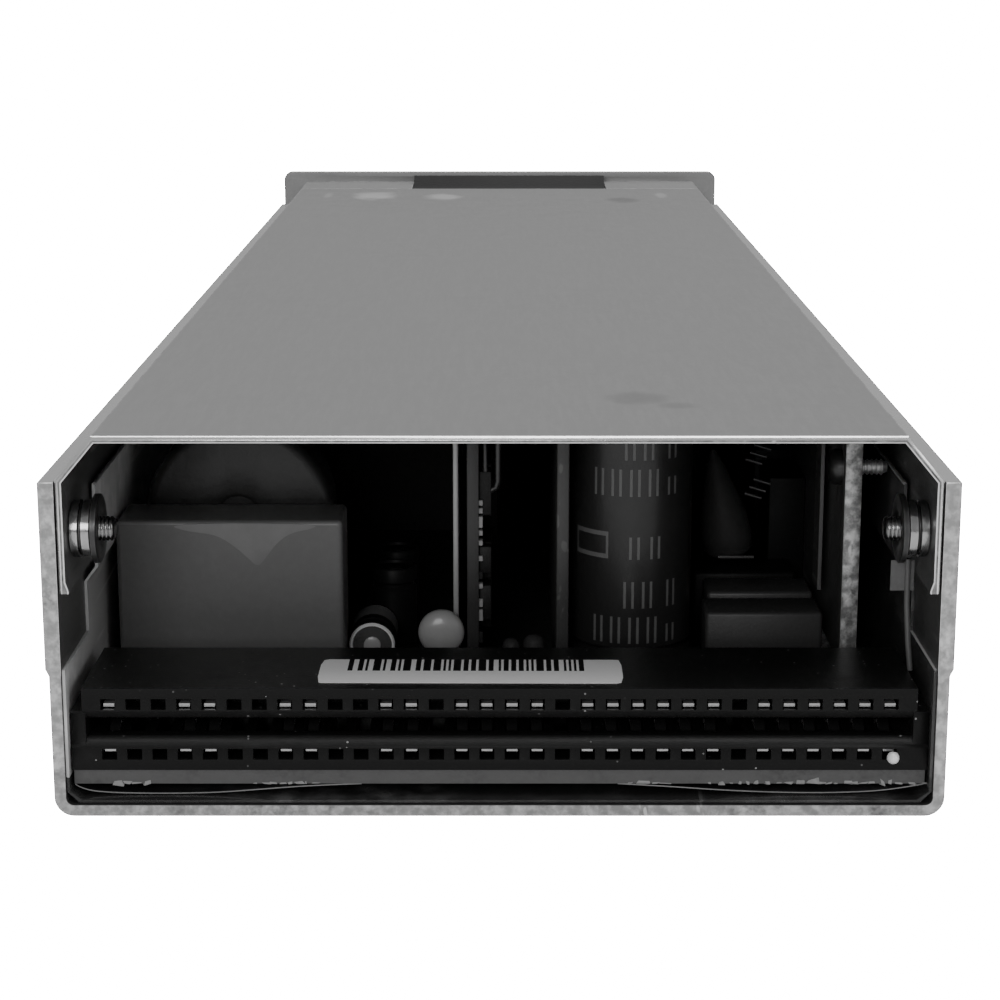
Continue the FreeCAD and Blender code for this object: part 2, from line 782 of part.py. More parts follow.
def make_faceplate():
    """The faceplate: upright plate, roof shelf with the latch's cut-out, and side tabs."""
    body = new_body("Faceplate")
    half = HALF - S["plate_inset"]
    sketch = new_sketch(body, "XZ_Plane", "PlateOutline", -S["case_length"])
    rectangle(sketch, (-half, half), (0, PLATE_HEIGHT))
    pad = solid_feature(body, "Pad", "PlatePad", sketch, S["plate_sheet"], away=True)
    doc.recompute()

    def plate_corner(middle, direction):
        return along_y(direction) and close(abs(middle.x), half)

    dress(body, "Fillet", "PlateCorners", pad, edges_near(pad.Shape, plate_corner), S["plate_corner"])
    shelf = new_body("Shelf")
    outline = new_sketch(shelf, "XZ_Plane", "ShelfOutline", -(S["case_length"] - S["shelf_reach"]))
    foot = SLANT_FOOT - S["shelf_skirt"]
    bury = S["plate_sheet"] / 2
    polygon(outline, slanted_roof(S["plate_sheet"], foot))
    solid_feature(shelf, "Pad", "ShelfPad", outline, S["shelf_reach"] + bury, away=True)
    tabs = []
    for side, tag in ((1, "R"), (-1, "L")):
        edge = INNER - S["seam_gap"] / 2
        x = mirrored(side, edge - S["plate_sheet"], edge)
        depth = (S["case_length"] - S["tab_reach"], S["case_length"] + bury)
        tabs.append(box("SideTab" + tag, x, depth, (S["tray_sheet"] + S["tray_bend"], foot)))
    centre = S["latch_centre"]
    ear = S["pin_radius"] + EAR_WALL
    ears = []
    for side, tag in ((1, "R"), (-1, "L")):
        near = LATCH_HALF + S["latch_play"]
        span = mirrored(side, near, near + S["plate_sheet"])
        ears.append(box("LatchEar" + tag, (centre + span[0], centre + span[1]),
                        (PIVOT_DEPTH - ear, PIVOT_DEPTH + ear),
                        (PIVOT_HEIGHT - ear, S["case_height"] - bury)))
    joined = fuse("PlateJoined", [body, shelf] + tabs + ears)
    well = (centre - LATCH_HALF - S["latch_play"], centre + LATCH_HALF + S["latch_play"])
    window_low = PIVOT_HEIGHT - S["latch_window"]
    pin_reach = S["latch_play"] + S["plate_sheet"] + OVERLAP
    tools = [
        box("LatchWell", well, (S["case_length"] - S["shelf_reach"] - OVERLAP, S["case_length"]),
            (S["case_height"] - S["plate_sheet"] - OVERLAP, S["case_height"] + OVERLAP)),
        box("LatchWindow", well, (S["case_length"] - OVERLAP, FACE + OVERLAP),
            (window_low, S["case_height"] + OVERLAP)),
        rod("LatchPinHole", S["pin_radius"], S["latch_width"] + pin_reach * 2,
            centre - LATCH_HALF - pin_reach, PIVOT_DEPTH, PIVOT_HEIGHT, "X"),
        box("InletHole",
            (INLET_CENTRE - INLET_HALF_WIDTH, INLET_CENTRE + INLET_HALF_WIDTH),
            (S["case_length"] - OVERLAP, FACE + OVERLAP),
            (S["inlet_height"] - INLET_HALF_HEIGHT, S["inlet_height"] + INLET_HALF_HEIGHT)),
        grille_tool(),
    ]
    hole = S["screw_radius"] + S["screw_play"]
    before = S["case_length"] - OVERLAP
    through = S["plate_sheet"] + OVERLAP * 2
    for tag, z in HANDLE_SCREWS:
        tools.append(rod("HandleHole" + tag, hole, through, HANDLE_CENTRE, before, z, "Y"))
    for number, x in enumerate(LIGHT_PLACES):
        tools.append(rod("LightHole%d" % number, S["light_radius"] + S["pin_play"], through, x,
                         before, LIGHT_HEIGHT, "Y"))
    for number, (x, z) in enumerate(PLATE_SCREWS):
        side = 1 if x.value > 0 else -1
        axis = "-X" if side > 0 else "X"
        tools.append(rod("TabHole%d" % number, S["screw_radius"] + S["thread_play"],
                         PLATE_SCREW_REACH + OVERLAP * 2, (BAR + OVERLAP) * side,
                         PLATE_SCREW_DEPTH, z, axis))
    node(cut("FaceplateCut", joined, fuse("PlateTools", tools)), "faceplate")


EAR_WALL = S["plate_sheet"]
LIGHT_MIDDLE = INLET_CENTRE + S["light_offset"]
LIGHT_PLACES = (LIGHT_MIDDLE - S["light_pitch"] / 2, LIGHT_MIDDLE + S["light_pitch"] / 2)
PLATE_SCREW_REACH = S["tray_sheet"] + S["joggle_step"] + S["plate_sheet"] + S["screw_play"] * 2


def make_plate_screws():
    """Set screws through the tray's walls into the faceplate's tabs."""
    screws = []
    for number, (x, z) in enumerate(PLATE_SCREWS):
        side = 1 if x.value > 0 else -1
        axis = "-X" if side > 0 else "X"
        name = "PlateScrew%d" % number
        screws.append(rod(name, S["screw_radius"], PLATE_SCREW_REACH, x, PLATE_SCREW_DEPTH, z, axis))
    node(group("PlateScrews", screws), "faceplate_screws")


# ---------------------------------------------------------------- latch and handle

COIL_BORE = S["pin_radius"] + S["screw_play"]
COIL_RADIUS = COIL_BORE + S["spring_wire"]
LATCH_TOP = S["case_height"] - S["latch_sink"]
LATCH_LOW = LATCH_TOP - S["latch_thickness"]


def make_latch():
    """The release latch: a wide plastic paddle with a catch, hinged on its front edge."""
    body = new_body("Latch")
    middle = S["latch_centre"]
    place(body, middle, RIM, 0)
    end = FACE + S["latch_pad"]
    catch_back = S["case_length"] - S["catch_gap"]
    catch_front = catch_back - S["catch_reach"]
    lip = S["pad_lip"]
    bevel = OVERLAP
    sketch = new_sketch(body, "YZ_Plane", "LatchOutline")
    polygon(sketch, [
        (PIVOT_DEPTH, LATCH_LOW),
        (end - bevel, LATCH_LOW),
        (end, LATCH_LOW + bevel),
        (end, LATCH_TOP + lip / 2),
        (end - bevel, LATCH_TOP + lip),
        (FACE + S["pad_gap"], LATCH_TOP + lip / 5),
        (FACE + S["pad_gap"] - bevel, LATCH_TOP),
        (catch_back, LATCH_TOP),
        (catch_back, LATCH_TOP + S["latch_catch"]),
        (catch_back - bevel, LATCH_TOP + S["latch_catch"]),
        (catch_front, LATCH_TOP),
        (PIVOT_DEPTH, LATCH_TOP),
    ])
    solid_feature(body, "Pad", "LatchPad", sketch, S["latch_width"], midplane=True)
    left = middle - LATCH_HALF
    barrel = rod("LatchBarrel", LATCH_TOP - PIVOT_HEIGHT, S["latch_width"], left, PIVOT_DEPTH,
                 PIVOT_HEIGHT, "X")
    bore = rod("LatchBore", S["pin_radius"] + S["pin_play"], S["latch_width"] + OVERLAP * 2,
               left - OVERLAP, PIVOT_DEPTH, PIVOT_HEIGHT, "X")
    room = S["spring_width"] / 2 + S["spring_room"]
    reach = COIL_RADIUS + S["spring_room"]
    gap = box("SpringGap", (middle - room, middle + room), (PIVOT_DEPTH - reach, PIVOT_DEPTH + reach),
              (PIVOT_HEIGHT - reach, PIVOT_HEIGHT + COIL_RADIUS + S["screw_play"]))
    ribs = []
    inset = S["pad_taper"] + OVERLAP
    for i in range(4):
        start = FACE + S["pad_gap"] + S["rib_pitch"] * (i + 1) - S["rib_width"] / 2
        rise = LATCH_TOP + lip * 0.75 + S["rib_width"] * 0.2 * i
        ribs.append(box("PadRib%d" % i, (left + inset, left + S["latch_width"] - inset),
                        (start, start + S["rib_width"]), (LATCH_LOW + bevel / 2, rise)))
    # the paddle narrows outside the plate to clear the grille and the inlet
    trims = []
    for side, tag in ((1, "R"), (-1, "L")):
        span = mirrored(side, LATCH_HALF - S["pad_taper"], LATCH_HALF + OVERLAP)
        trims.append(box("PadTrim" + tag, (middle + span[0], middle + span[1]),
                         (FACE + S["pad_gap"], end + OVERLAP),
                         (LATCH_LOW - OVERLAP, LATCH_TOP + lip + OVERLAP)))
    joined = fuse("LatchJoined", [body, barrel] + ribs)
    node(cut("LatchCut", joined, fuse("LatchTools", [bore, gap] + trims)), "release_latch")
    pin_length = S["latch_width"] + (S["latch_play"] + S["plate_sheet"]) * 2
    pin = rod("LatchPin", S["pin_radius"] - PIN_FIT, pin_length, middle - pin_length / 2, PIVOT_DEPTH,
              PIVOT_HEIGHT, "X")
    node(pin, "latch_pin")


def make_latch_spring():
    """A torsion spring round the hinge pin, one leg under the paddle, one under the cover."""
    half = S["spring_width"] / 2
    wire = S["spring_wire"]
    left = S["latch_centre"] - half
    right = S["latch_centre"] + half
    coil = rod("SpringCoil", COIL_RADIUS, S["spring_width"], left, PIVOT_DEPTH, PIVOT_HEIGHT, "X")
    bore = rod("SpringBore", COIL_BORE, S["spring_width"] + OVERLAP * 2, left - OVERLAP, PIVOT_DEPTH,
               PIVOT_HEIGHT, "X")
    under = LATCH_LOW - S["pin_play"]
    leg = box("SpringLeg", (right - wire, right), (PIVOT_DEPTH + COIL_BORE, PIVOT_DEPTH + S["spring_leg"]),
              (under - wire, under))
    tail = box("SpringTail", (left, left + wire), (COVER_LENGTH - S["spring_tail"], PIVOT_DEPTH),
               (PIVOT_HEIGHT + COIL_BORE, PIVOT_HEIGHT + COIL_RADIUS))
    node(cut("LatchSpring", fuse("SpringJoined", [coil, leg, tail]), bore), "latch_spring")


def make_handle():
    """The pull handle: a moulded D with rounded corners, softened edges and two feet."""
    body = new_body("Handle")
    place(body, HANDLE_CENTRE, RIM, 0)
    low, high = [z for tag, z in HANDLE_SCREWS]
    grip = S["handle_grip"]
    end = FACE + S["handle_reach"]
    sketch = new_sketch(body, "YZ_Plane", "HandleOutline")
    polygon(sketch, [
        (FACE, low - grip),
        (end, low - grip),
        (end, high + grip),
        (FACE, high + grip),
        (FACE, high - grip),
        (end - grip * 2, high - grip),
        (end - grip * 2, low + grip),
        (FACE, low + grip),
    ])
    pad = solid_feature(body, "Pad", "HandlePad", sketch, S["handle_width"], midplane=True)
    doc.recompute()

    def across(direction):
        return close(abs(direction.x), 1)

    def outer_corner(middle, direction):
        return across(direction) and close(middle.y, end)

    def inner_corner(middle, direction):
        return across(direction) and close(middle.y, end - grip * 2)

    def long_edge(middle, direction):
        return not across(direction) and middle.y > FACE.value + 0.1

    outer = dress(body, "Fillet", "OuterCorners", pad, edges_near(pad.Shape, outer_corner),
                  S["handle_bend"])
    doc.recompute()
    inner = dress(body, "Fillet", "InnerCorners", outer, edges_near(outer.Shape, inner_corner),
                  S["handle_bend"] - grip)
    doc.recompute()
    dress(body, "Chamfer", "SoftEdges", inner, edges_near(inner.Shape, long_edge), S["handle_edge"])
    bores = []
    for tag, z in HANDLE_SCREWS:
        bores.append(rod("HandleBore" + tag, S["screw_radius"] + S["thread_play"],
                         S["handle_thread"] + OVERLAP, HANDLE_CENTRE, FACE - OVERLAP, z, "Y"))
    node(cut("HandleCut", body, fuse("HandleBores", bores)), "pull_handle")
    screws = []
    start = S["case_length"] - S["head_thickness"]
    length = S["head_thickness"] + S["plate_sheet"] + S["handle_thread"] - OVERLAP
    for tag, z in HANDLE_SCREWS:
        name = "HandleScrew" + tag
        head = rod(name + "Head", S["head_radius"], S["head_thickness"], HANDLE_CENTRE, start, z, "Y")
        shank = rod(name + "Shank", S["screw_radius"], length, HANDLE_CENTRE, start, z, "Y")
        screws.append(fuse(name, [head, shank]))
    node(group("HandleScrews", screws), "handle_screws")


# ---------------------------------------------------------------- fan

def make_bulkhead():
    """The sheet that holds the fan across the case, with a foot on the floor."""
    left = -(INNER - S["tray_bend"])
    right = FAN_RIGHT + S["bulkhead_edge"]
    front = FAN_END + PIN_FIT * 2
    back = front + S["bulkhead_sheet"]
    depth = (front - OVERLAP, back + OVERLAP)
    roof = ROOF - S["plate_sheet"] - S["seam_gap"]
    wall = box("BulkheadWall", (left, right), (front, back), (S["tray_sheet"], roof))
    foot = box("BulkheadFoot", (left, right), (front, front + S["bulkhead_foot"]),
               (S["tray_sheet"], S["tray_sheet"] + S["bulkhead_sheet"]))
    mouth = rod("BulkheadMouth", FAN_BORE / 2 - S["bulkhead_sheet"], S["bulkhead_sheet"] + OVERLAP * 2,
                FAN_CENTRE, front - OVERLAP, FAN_HEIGHT, "Y")
    drills = [mouth]
    for number, (x, z) in enumerate(FAN_CORNERS[:3]):
        drills.append(rod("BulkheadHole%d" % number, S["screw_radius"] + S["screw_play"],
                          S["bulkhead_sheet"] + OVERLAP * 2, x, front - OVERLAP, z, "Y"))
    lean = S["slant_drop"] + S["plate_sheet"]
    shoulder = box("BulkheadShoulder", (left - OVERLAP, FAN_LEFT), depth, (SLANT_FOOT - lean, ROOF))
    latch_side = S["latch_centre"] - LATCH_HALF - S["latch_play"] - S["plate_sheet"] - S["seam_gap"] * 2
    relief = box("BulkheadRelief", (latch_side, right + OVERLAP), depth,
                 (PIVOT_HEIGHT - S["latch_window"], ROOF))
    drills += [shoulder, relief]
    node(cut("Bulkhead", fuse("BulkheadJoined", [wall, foot]), fuse("BulkheadTools", drills)),
         "fan_bulkhead")
    screws = []
    for number, (x, z) in enumerate(FAN_CORNERS[:3]):
        name = "FanScrew%d" % number
        head = rod(name + "Head", S["fan_screw_rim"], S["fan_screw_head"], x, back, z, "Y")
        shank = rod(name + "Shank", S["screw_radius"], S["fan_screw"], x,
                    back + OVERLAP / 2 - S["fan_screw"], z, "Y")
        screws.append(fuse(name, [head, shank]))
    node(group("FanScrews", screws), "fan_screws")


FAN_CORNER = FAN_SQUARE / 2 - S["fan_hole_inset"]
FAN_CORNERS = (
    (FAN_CENTRE + FAN_CORNER, FAN_HEIGHT - FAN_CORNER),
    (FAN_CENTRE - FAN_CORNER, FAN_HEIGHT - FAN_CORNER),
    (FAN_CENTRE - FAN_CORNER, FAN_HEIGHT + FAN_CORNER),
    (FAN_CENTRE + FAN_CORNER, FAN_HEIGHT + FAN_CORNER),
)


def make_fan_frame():
    """The fan's moulded frame: square flanges, a round duct, struts and a motor boss."""
    body = new_body("FanFrame")
    half = FAN_SQUARE / 2
    wide = half + OVERLAP
    sketch = new_sketch(body, "XZ_Plane", "FrameOutline", -FAN_FRONT)
    rectangle(sketch, (FAN_LEFT, FAN_RIGHT), (FAN_HEIGHT - half, FAN_HEIGHT + half))
    pad = solid_feature(body, "Pad", "FramePad", sketch, S["fan_depth"], away=True)
    doc.recompute()
    dress(body, "Chamfer", "FrameCorners", pad, edges_near(pad.Shape, lambda m, d: along_y(d)),
          S["fan_corner"])
    start = FAN_FRONT - OVERLAP
    through = S["fan_depth"] + OVERLAP * 2
    duct = rod("FanDuct", FAN_BORE / 2, through, FAN_CENTRE, start, FAN_HEIGHT, "Y")
    waist_outer = box("WaistBlock", (FAN_CENTRE - wide, FAN_CENTRE + wide),
                      (FAN_FRONT + S["fan_flange"], FAN_END - S["fan_flange"]),
                      (FAN_HEIGHT - wide, FAN_HEIGHT + wide))
    waist_core = rod("WaistCore", FAN_BORE / 2 + S["fan_wall"], S["fan_depth"], FAN_CENTRE, FAN_FRONT,
                     FAN_HEIGHT, "Y")
    waist = cut("FanWaist", waist_outer, waist_core)
    shell = cut("FanShell", body, fuse("FanHollows", [duct, waist]))
    across = FAN_BORE / 2 + S["fan_wall"] / 2
    thin = S["strut_width"] / 2
    depth = (FAN_END - S["boss_thickness"], FAN_END)
    struts = []
    for number, (x, z) in enumerate(((across, thin), (thin, across))):
        struts.append(box("FanStrut%d" % number, (FAN_CENTRE - x, FAN_CENTRE + x), depth,
                          (FAN_HEIGHT - z, FAN_HEIGHT + z)))
    boss = rod("FanBoss", S["hub_radius"], S["boss_thickness"], FAN_CENTRE, depth[0], FAN_HEIGHT, "Y")
    joined = fuse("FanJoined", [shell, boss] + struts)
    drills = [rod("FanBearing", S["shaft_radius"] + S["shaft_play"], S["boss_thickness"] + OVERLAP * 2,
                  FAN_CENTRE, depth[0] - OVERLAP, FAN_HEIGHT, "Y")]
    for number, (x, z) in enumerate(FAN_CORNERS):
        drills.append(rod("FrameHole%d" % number, S["screw_radius"] + S["thread_play"], through, x,
                          start, z, "Y"))
    node(cut("FanFrameCut", joined, fuse("FanDrills", drills)), "fan_frame")


def make_fan_rotor():
    """The rotor: a cupped hub with pitched, widening blades on a steel shaft."""
    body = doc.addObject("PartDesign::Body", "FanRotor")
    hub_start = FAN_END - S["boss_thickness"] - S["hub_gap"] - S["hub_length"]
    place(body, FAN_CENTRE, RIM + hub_start, FAN_HEIGHT)
    hub = new_sketch(body, "XZ_Plane", "HubOutline")
    circle(hub, 0, 0, S["hub_radius"])
    pad = solid_feature(body, "Pad", "HubPad", hub, S["hub_length"], away=True)
    doc.recompute()
    rim = [name for name in ["Edge%d" % i for i in range(1, len(pad.Shape.Edges) + 1)]
           if close(pad.Shape.getElement(name).CenterOfMass.y, 0)
           and len(pad.Shape.getElement(name).Vertexes) == 1]
    dress(body, "Chamfer", "HubNose", pad, rim, S["hub_nose"])
    sections = []
    spans = (
        ("Root", S["hub_radius"] - OVERLAP, S["blade_root"] / 2),
        ("Tip", FAN_BORE / 2 - S["tip_gap"], S["blade_tip"] / 2),
    )
    thin = S["blade_thickness"] / 2
    for name, radius, chord in spans:
        sketch = new_sketch(body, "YZ_Plane", "Blade%s" % name, radius)
        sketch.AttachmentOffset = FreeCAD.Placement(
            Vector(S["hub_length"].value / 2, 0, radius.value),
            FreeCAD.Rotation(Vector(0, 0, 1), S["blade_pitch"].value))
        bind(sketch, "AttachmentOffset.Base.x", S["hub_length"] / 2)
        bind(sketch, "AttachmentOffset.Base.z", radius)
        bind(sketch, "AttachmentOffset.Rotation.Angle", S["blade_pitch"])
        polygon(sketch, [(-chord, -thin), (chord, -thin), (chord, thin), (-chord, thin)])
        sections.append(sketch)
    blade = body.newObject("PartDesign::AdditiveLoft", "Blade")
    blade.Profile = sections[0]
    blade.Sections = [sections[1]]
    doc.recompute()
    ring = body.newObject("PartDesign::PolarPattern", "Blades")
    ring.Originals = [blade]
    ring.Axis = (origin_feature(body, "Y_Axis"), [""])
    ring.Angle = 360
    ring.Occurrences = int(S["blade_count"].value)
    bind(ring, "Occurrences", S["blade_count"])
    body.Tip = ring
    shaft_start = FAN_END - S["boss_thickness"] - S["hub_gap"] - OVERLAP
    shaft = rod("FanShaft", S["shaft_radius"], FAN_END - shaft_start, FAN_CENTRE, shaft_start,
                FAN_HEIGHT, "Y")
    node(fuse("FanRotorJoined", [body, shaft]), "fan_rotor")


# ---------------------------------------------------------------- mains inlet and lights

def make_inlet():
    """The mains inlet: flanged socket with two cut corners and three flat pins."""
    centre, height = INLET_CENTRE, S["inlet_height"]
    rim = INLET_HALF_WIDTH + S["inlet_rim"]
    rise = INLET_HALF_HEIGHT + S["inlet_rim"]
    play = S["seam_gap"] / 2
    flange = box("InletFlange", (centre - rim, centre + rim), (FACE, FACE + S["inlet_flange"]),
                 (height - rise, height + rise))
    front = INLET_REAR
    shell = box("InletShell", (centre - INLET_HALF_WIDTH + play, centre + INLET_HALF_WIDTH - play),
                (front, FACE + S["inlet_flange"]),
                (height - INLET_HALF_HEIGHT + play, height + INLET_HALF_HEIGHT - play))
    body = new_body("InletCavity")
    sketch = new_sketch(body, "XZ_Plane", "CavityOutline", -(front + S["inlet_wall"]))
    half = S["inlet_cavity_width"] / 2
    tall = S["inlet_cavity_height"] / 2
    nip = S["inlet_corner"]
    polygon(sketch, [
        (centre - half, height - tall),
        (centre + half, height - tall),
        (centre + half, height + tall - nip),
        (centre + half - nip, height + tall),
        (centre - half + nip, height + tall),
        (centre - half, height + tall - nip),
    ])
    solid_feature(body, "Pad", "CavityPad", sketch, S["inlet_cavity_depth"] + OVERLAP, away=True)
    slots = []
    pins = []
    thin = S["inlet_pin_thickness"] / 2
    wide = S["inlet_pin_width"] / 2
    tip = FACE + S["inlet_flange"] - S["inlet_pin_recess"]
    tail_start = front - S["inlet_tail"]
    for tag, x, z in INLET_PINS:
        span = (centre + x - thin, centre + x + thin)
        tall_span = (height + z - wide, height + z + wide)
        slots.append(box("InletSlot" + tag, span, (front - OVERLAP, front + S["inlet_wall"] + OVERLAP),
                         tall_span))
        pin = box("InletPin" + tag, span, (tail_start, tip), tall_span)
        tail = box("InletTail" + tag, span, (tail_start, tail_start + OVERLAP),
                   (BOARD_TOP, height + z + wide))
        pins.append(fuse("InletBlade" + tag, [pin, tail]))
    joined = fuse("InletJoined", [flange, shell])
    node(cut("InletCut", joined, fuse("InletTools", [body] + slots)), "mains_inlet")
    node(group("InletPins", pins), "inlet_pins")


INLET_PINS = (
    ("Line", -S["inlet_pin_pitch"] / 2, -S["inlet_pin_stagger"]),
    ("Neutral", S["inlet_pin_pitch"] / 2, -S["inlet_pin_stagger"]),
    ("Earth", dim(0), S["inlet_pin_stagger"]),
)


def make_lights():
    """Two status lights set through the faceplate."""
    lights = []
    start = S["case_length"] - S["light_stem"]
    dome_start = FACE + OVERLAP / 2
    for number, x in enumerate(LIGHT_PLACES):
        name = "Light%d" % number
        stem = rod(name + "Stem", S["light_radius"], dome_start - start, x, start, LIGHT_HEIGHT, "Y")
        dome = taper(name + "Dome", S["light_radius"], S["light_radius"] / 2, S["light_radius"] / 2, x,
                     dome_start, LIGHT_HEIGHT, "Y")
        lights.append(fuse(name, [stem, dome]))
    node(group("Lights", lights), "status_lights")


# ---------------------------------------------------------------- board and connector

def make_board():
    """The main board on hexagonal seats, held by screws from above."""
    blank = box("BoardBlank", (-BOARD_HALF, BOARD_HALF), (S["board_setback"], BOARD_END),
                (BOARD_LOW, BOARD_TOP))
    tongue = box("BoardTongue", (FAN_RIGHT + S["tongue_gap"], BOARD_HALF - S["tray_bend"]),
                 (BOARD_END - OVERLAP, INLET_REAR - OVERLAP), (BOARD_LOW, BOARD_TOP))
    board = fuse("BoardOutline", [blank, tongue])
    drills = []
    seats = []
    screws = []
    hole = S["screw_radius"] + S["screw_play"]
    for number, (x, depth) in enumerate(SEAT_PLACES):
        name = "%d" % number
        drills.append(rod("BoardHole" + name, hole, S["board_thickness"] + OVERLAP * 2, x, depth,
                          BOARD_LOW - OVERLAP))
        seat = prism("SeatPost" + name, S["seat_radius"], S["board_lift"], x, depth, S["tray_sheet"])
        bore = rod("SeatBore" + name, S["screw_radius"] + S["thread_play"],
                   S["board_lift"] + OVERLAP * 2, x, depth, S["tray_sheet"] - OVERLAP)
        seats.append(cut("Seat" + name, seat, bore))
        head = rod("BoardScrewHead" + name, S["head_radius"], S["head_thickness"], x, depth, BOARD_TOP)
        shank = rod("BoardScrewShank" + name, S["screw_radius"],
                    S["board_thickness"] + S["board_lift"], x, depth, S["tray_sheet"] + S["pin_play"])
        screws.append(fuse("BoardScrew" + name, [head, shank]))
    node(cut("BoardCut", board, fuse("BoardDrills", drills)), "main_board")
    node(group("BoardSeats", seats), "board_seats")
    node(group("BoardScrews", screws), "board_screws")


SEAT_EDGE = BOARD_HALF - S["seat_radius"] - S["seat_margin"]
SEAT_ROWS = (
    CONNECTOR_BACK + S["head_radius"] + S["seat_front_gap"],
    BOARD_END - S["seat_radius"] - S["head_radius"],
)
SEAT_PLACES = [(edge, depth) for depth in SEAT_ROWS for edge in (SEAT_EDGE, -SEAT_EDGE)]


def make_film():
    """The insulating film: a U round the board, notched at the front for the nuts."""
    thick = S["film_thickness"]
    play = S["pin_play"]
    outer = INNER - play
    inner = outer - thick
    low = S["tray_sheet"] + play * 2
    front = S["film_setback"]
    corner = S["tray_bend"] - S["tray_sheet"] + S["film_setback"]
    upper = SKIRT_INNER - S["skirt_flare"] - play * 2
    jog_low = SKIRT_END - S["film_jog"]
    jog_high = SKIRT_END - OVERLAP
    top = SCREW_HEIGHT + S["film_rise"]
    body = new_body("Film")
    sketch = new_sketch(body, "XZ_Plane", "FilmOutline", -front)
    right = [
        (outer - corner, low),
        (outer, low + corner),
        (outer, jog_low),
        (upper, jog_high),
        (upper, top),
        (upper - thick, top),
        (upper - thick, jog_high),
        (inner, jog_low),
        (inner, low + corner),
        (inner - corner, low + thick),
    ]
    left = [(-x, z) for x, z in right]
    polygon(sketch, right + left[::-1])
    solid_feature(body, "Pad", "FilmPad", sketch, BOARD_END - front, away=True)
    across = (-(HALF + OVERLAP), HALF + OVERLAP)
    width = (HALF + OVERLAP) * 2
    over = top + OVERLAP
    windows = [box("FilmNotch", across, (0, S["film_notch"]),
                   (S["joggle_height"] + S["notch_rise"], over))]
    nut_hole = S["washer_radius"] + S["nut_room"]
    for number, depth in enumerate(SCREW_DEPTHS):
        windows.append(rod("FilmWindow%d" % number, nut_hole, width, across[0], depth, SCREW_HEIGHT, "X"))
        windows.append(box("FilmSlit%d" % number, across, (depth - nut_hole, depth + nut_hole),
                           (SCREW_HEIGHT, over)))
    for number, (x, depth) in enumerate(SEAT_PLACES):
        windows.append(rod("FilmSeatHole%d" % number, S["seat_radius"] + S["nut_room"],
                           thick + OVERLAP * 2, x, depth, S["tray_sheet"] - OVERLAP))
    node(cut("FilmCut", body, fuse("FilmTools", windows)), "insulating_film")


def make_connector():
    """The card edge connector: one moulding with a cavity for every pole in two rows."""
    body = new_body("Connector")
    face = S["face_setback"]
    back = CONNECTOR_BACK
    slot = S["card_slot"] / 2
    mouth = slot + S["lead_in"]
    end = face + S["card_slot_depth"]
    top = BOARD_TOP + S["connector_height"]
    sketch = new_sketch(body, "YZ_Plane", "ConnectorOutline")
    polygon(sketch, [
        (face, BOARD_TOP),
        (back, BOARD_TOP),
        (back, top),
        (face, top),
        (face, SLOT_MIDDLE + mouth),
        (face + S["lead_in"], SLOT_MIDDLE + slot),
        (end, SLOT_MIDDLE + slot),
        (end, SLOT_MIDDLE - slot),
        (face + S["lead_in"], SLOT_MIDDLE - slot),
        (face, SLOT_MIDDLE - mouth),
    ])
    solid_feature(body, "Pad", "ConnectorPad", sketch, EAR * 2, midplane=True)
    row_length = S["pole_pitch"] * (POLE_COUNT - 1)
    first = -(row_length / 2)
    half_cavity = S["cavity_width"] / 2
    slot_half = row_length / 2 + half_cavity + S["slot_end"]
    caps = new_sketch(body, "XZ_Plane", "SlotEnds", -(face + S["pin_play"] * 5))
    for side in (1, -1):
        rectangle(caps, mirrored(side, slot_half, EAR), (SLOT_MIDDLE - mouth, SLOT_MIDDLE + mouth))
    solid_feature(body, "Pad", "SlotEndPads", caps, S["card_slot_depth"], away=True)
    through = S["connector_depth"] + OVERLAP * 2
    trims = new_sketch(body, "XZ_Plane", "ShoulderTrims", -(back + OVERLAP))
    for side in (1, -1):
        rectangle(trims, mirrored(side, CONNECTOR_HALF, EAR + OVERLAP),
                  (SLOT_MIDDLE + mouth, top + OVERLAP))
    solid_feature(body, "Pocket", "ShoulderPockets", trims, through, away=True)
    span = (first - half_cavity, first + half_cavity)
    bores = new_sketch(body, "XZ_Plane", "CavityMouths", -(back + OVERLAP))
    windows = new_sketch(body, "XZ_Plane", "CavityWindows", -(end - PIN_FIT))
    skin = S["pin_play"]
    for sign in (1, -1):
        centre = S["cavity_offset"] * sign
        low = SLOT_MIDDLE + centre - S["cavity_height"] / 2
        rectangle(bores, span, (low, low + S["cavity_height"]))
        if sign > 0:
            gap = (SLOT_MIDDLE + slot - skin, low + skin)
        else:
            gap = (low + S["cavity_height"] - skin, SLOT_MIDDLE - slot + skin)
        rectangle(windows, span, gap)
    bore = solid_feature(body, "Pocket", "Cavities", bores, through, away=True)
    window = solid_feature(body, "Pocket", "Windows", windows, S["card_slot_depth"] - S["window_inset"],
                           away=True)
    row = body.newObject("PartDesign::LinearPattern", "PoleRow")
    row.Originals = [bore, window]
    row.Direction = (origin_feature(body, "X_Axis"), [""])
    row.Length = row_length.value
    bind(row, "Length", row_length)
    row.Occurrences = int(POLE_COUNT.value)
    bind(row, "Occurrences", POLE_COUNT)
    body.Tip = row
    node(body, "connector_housing")


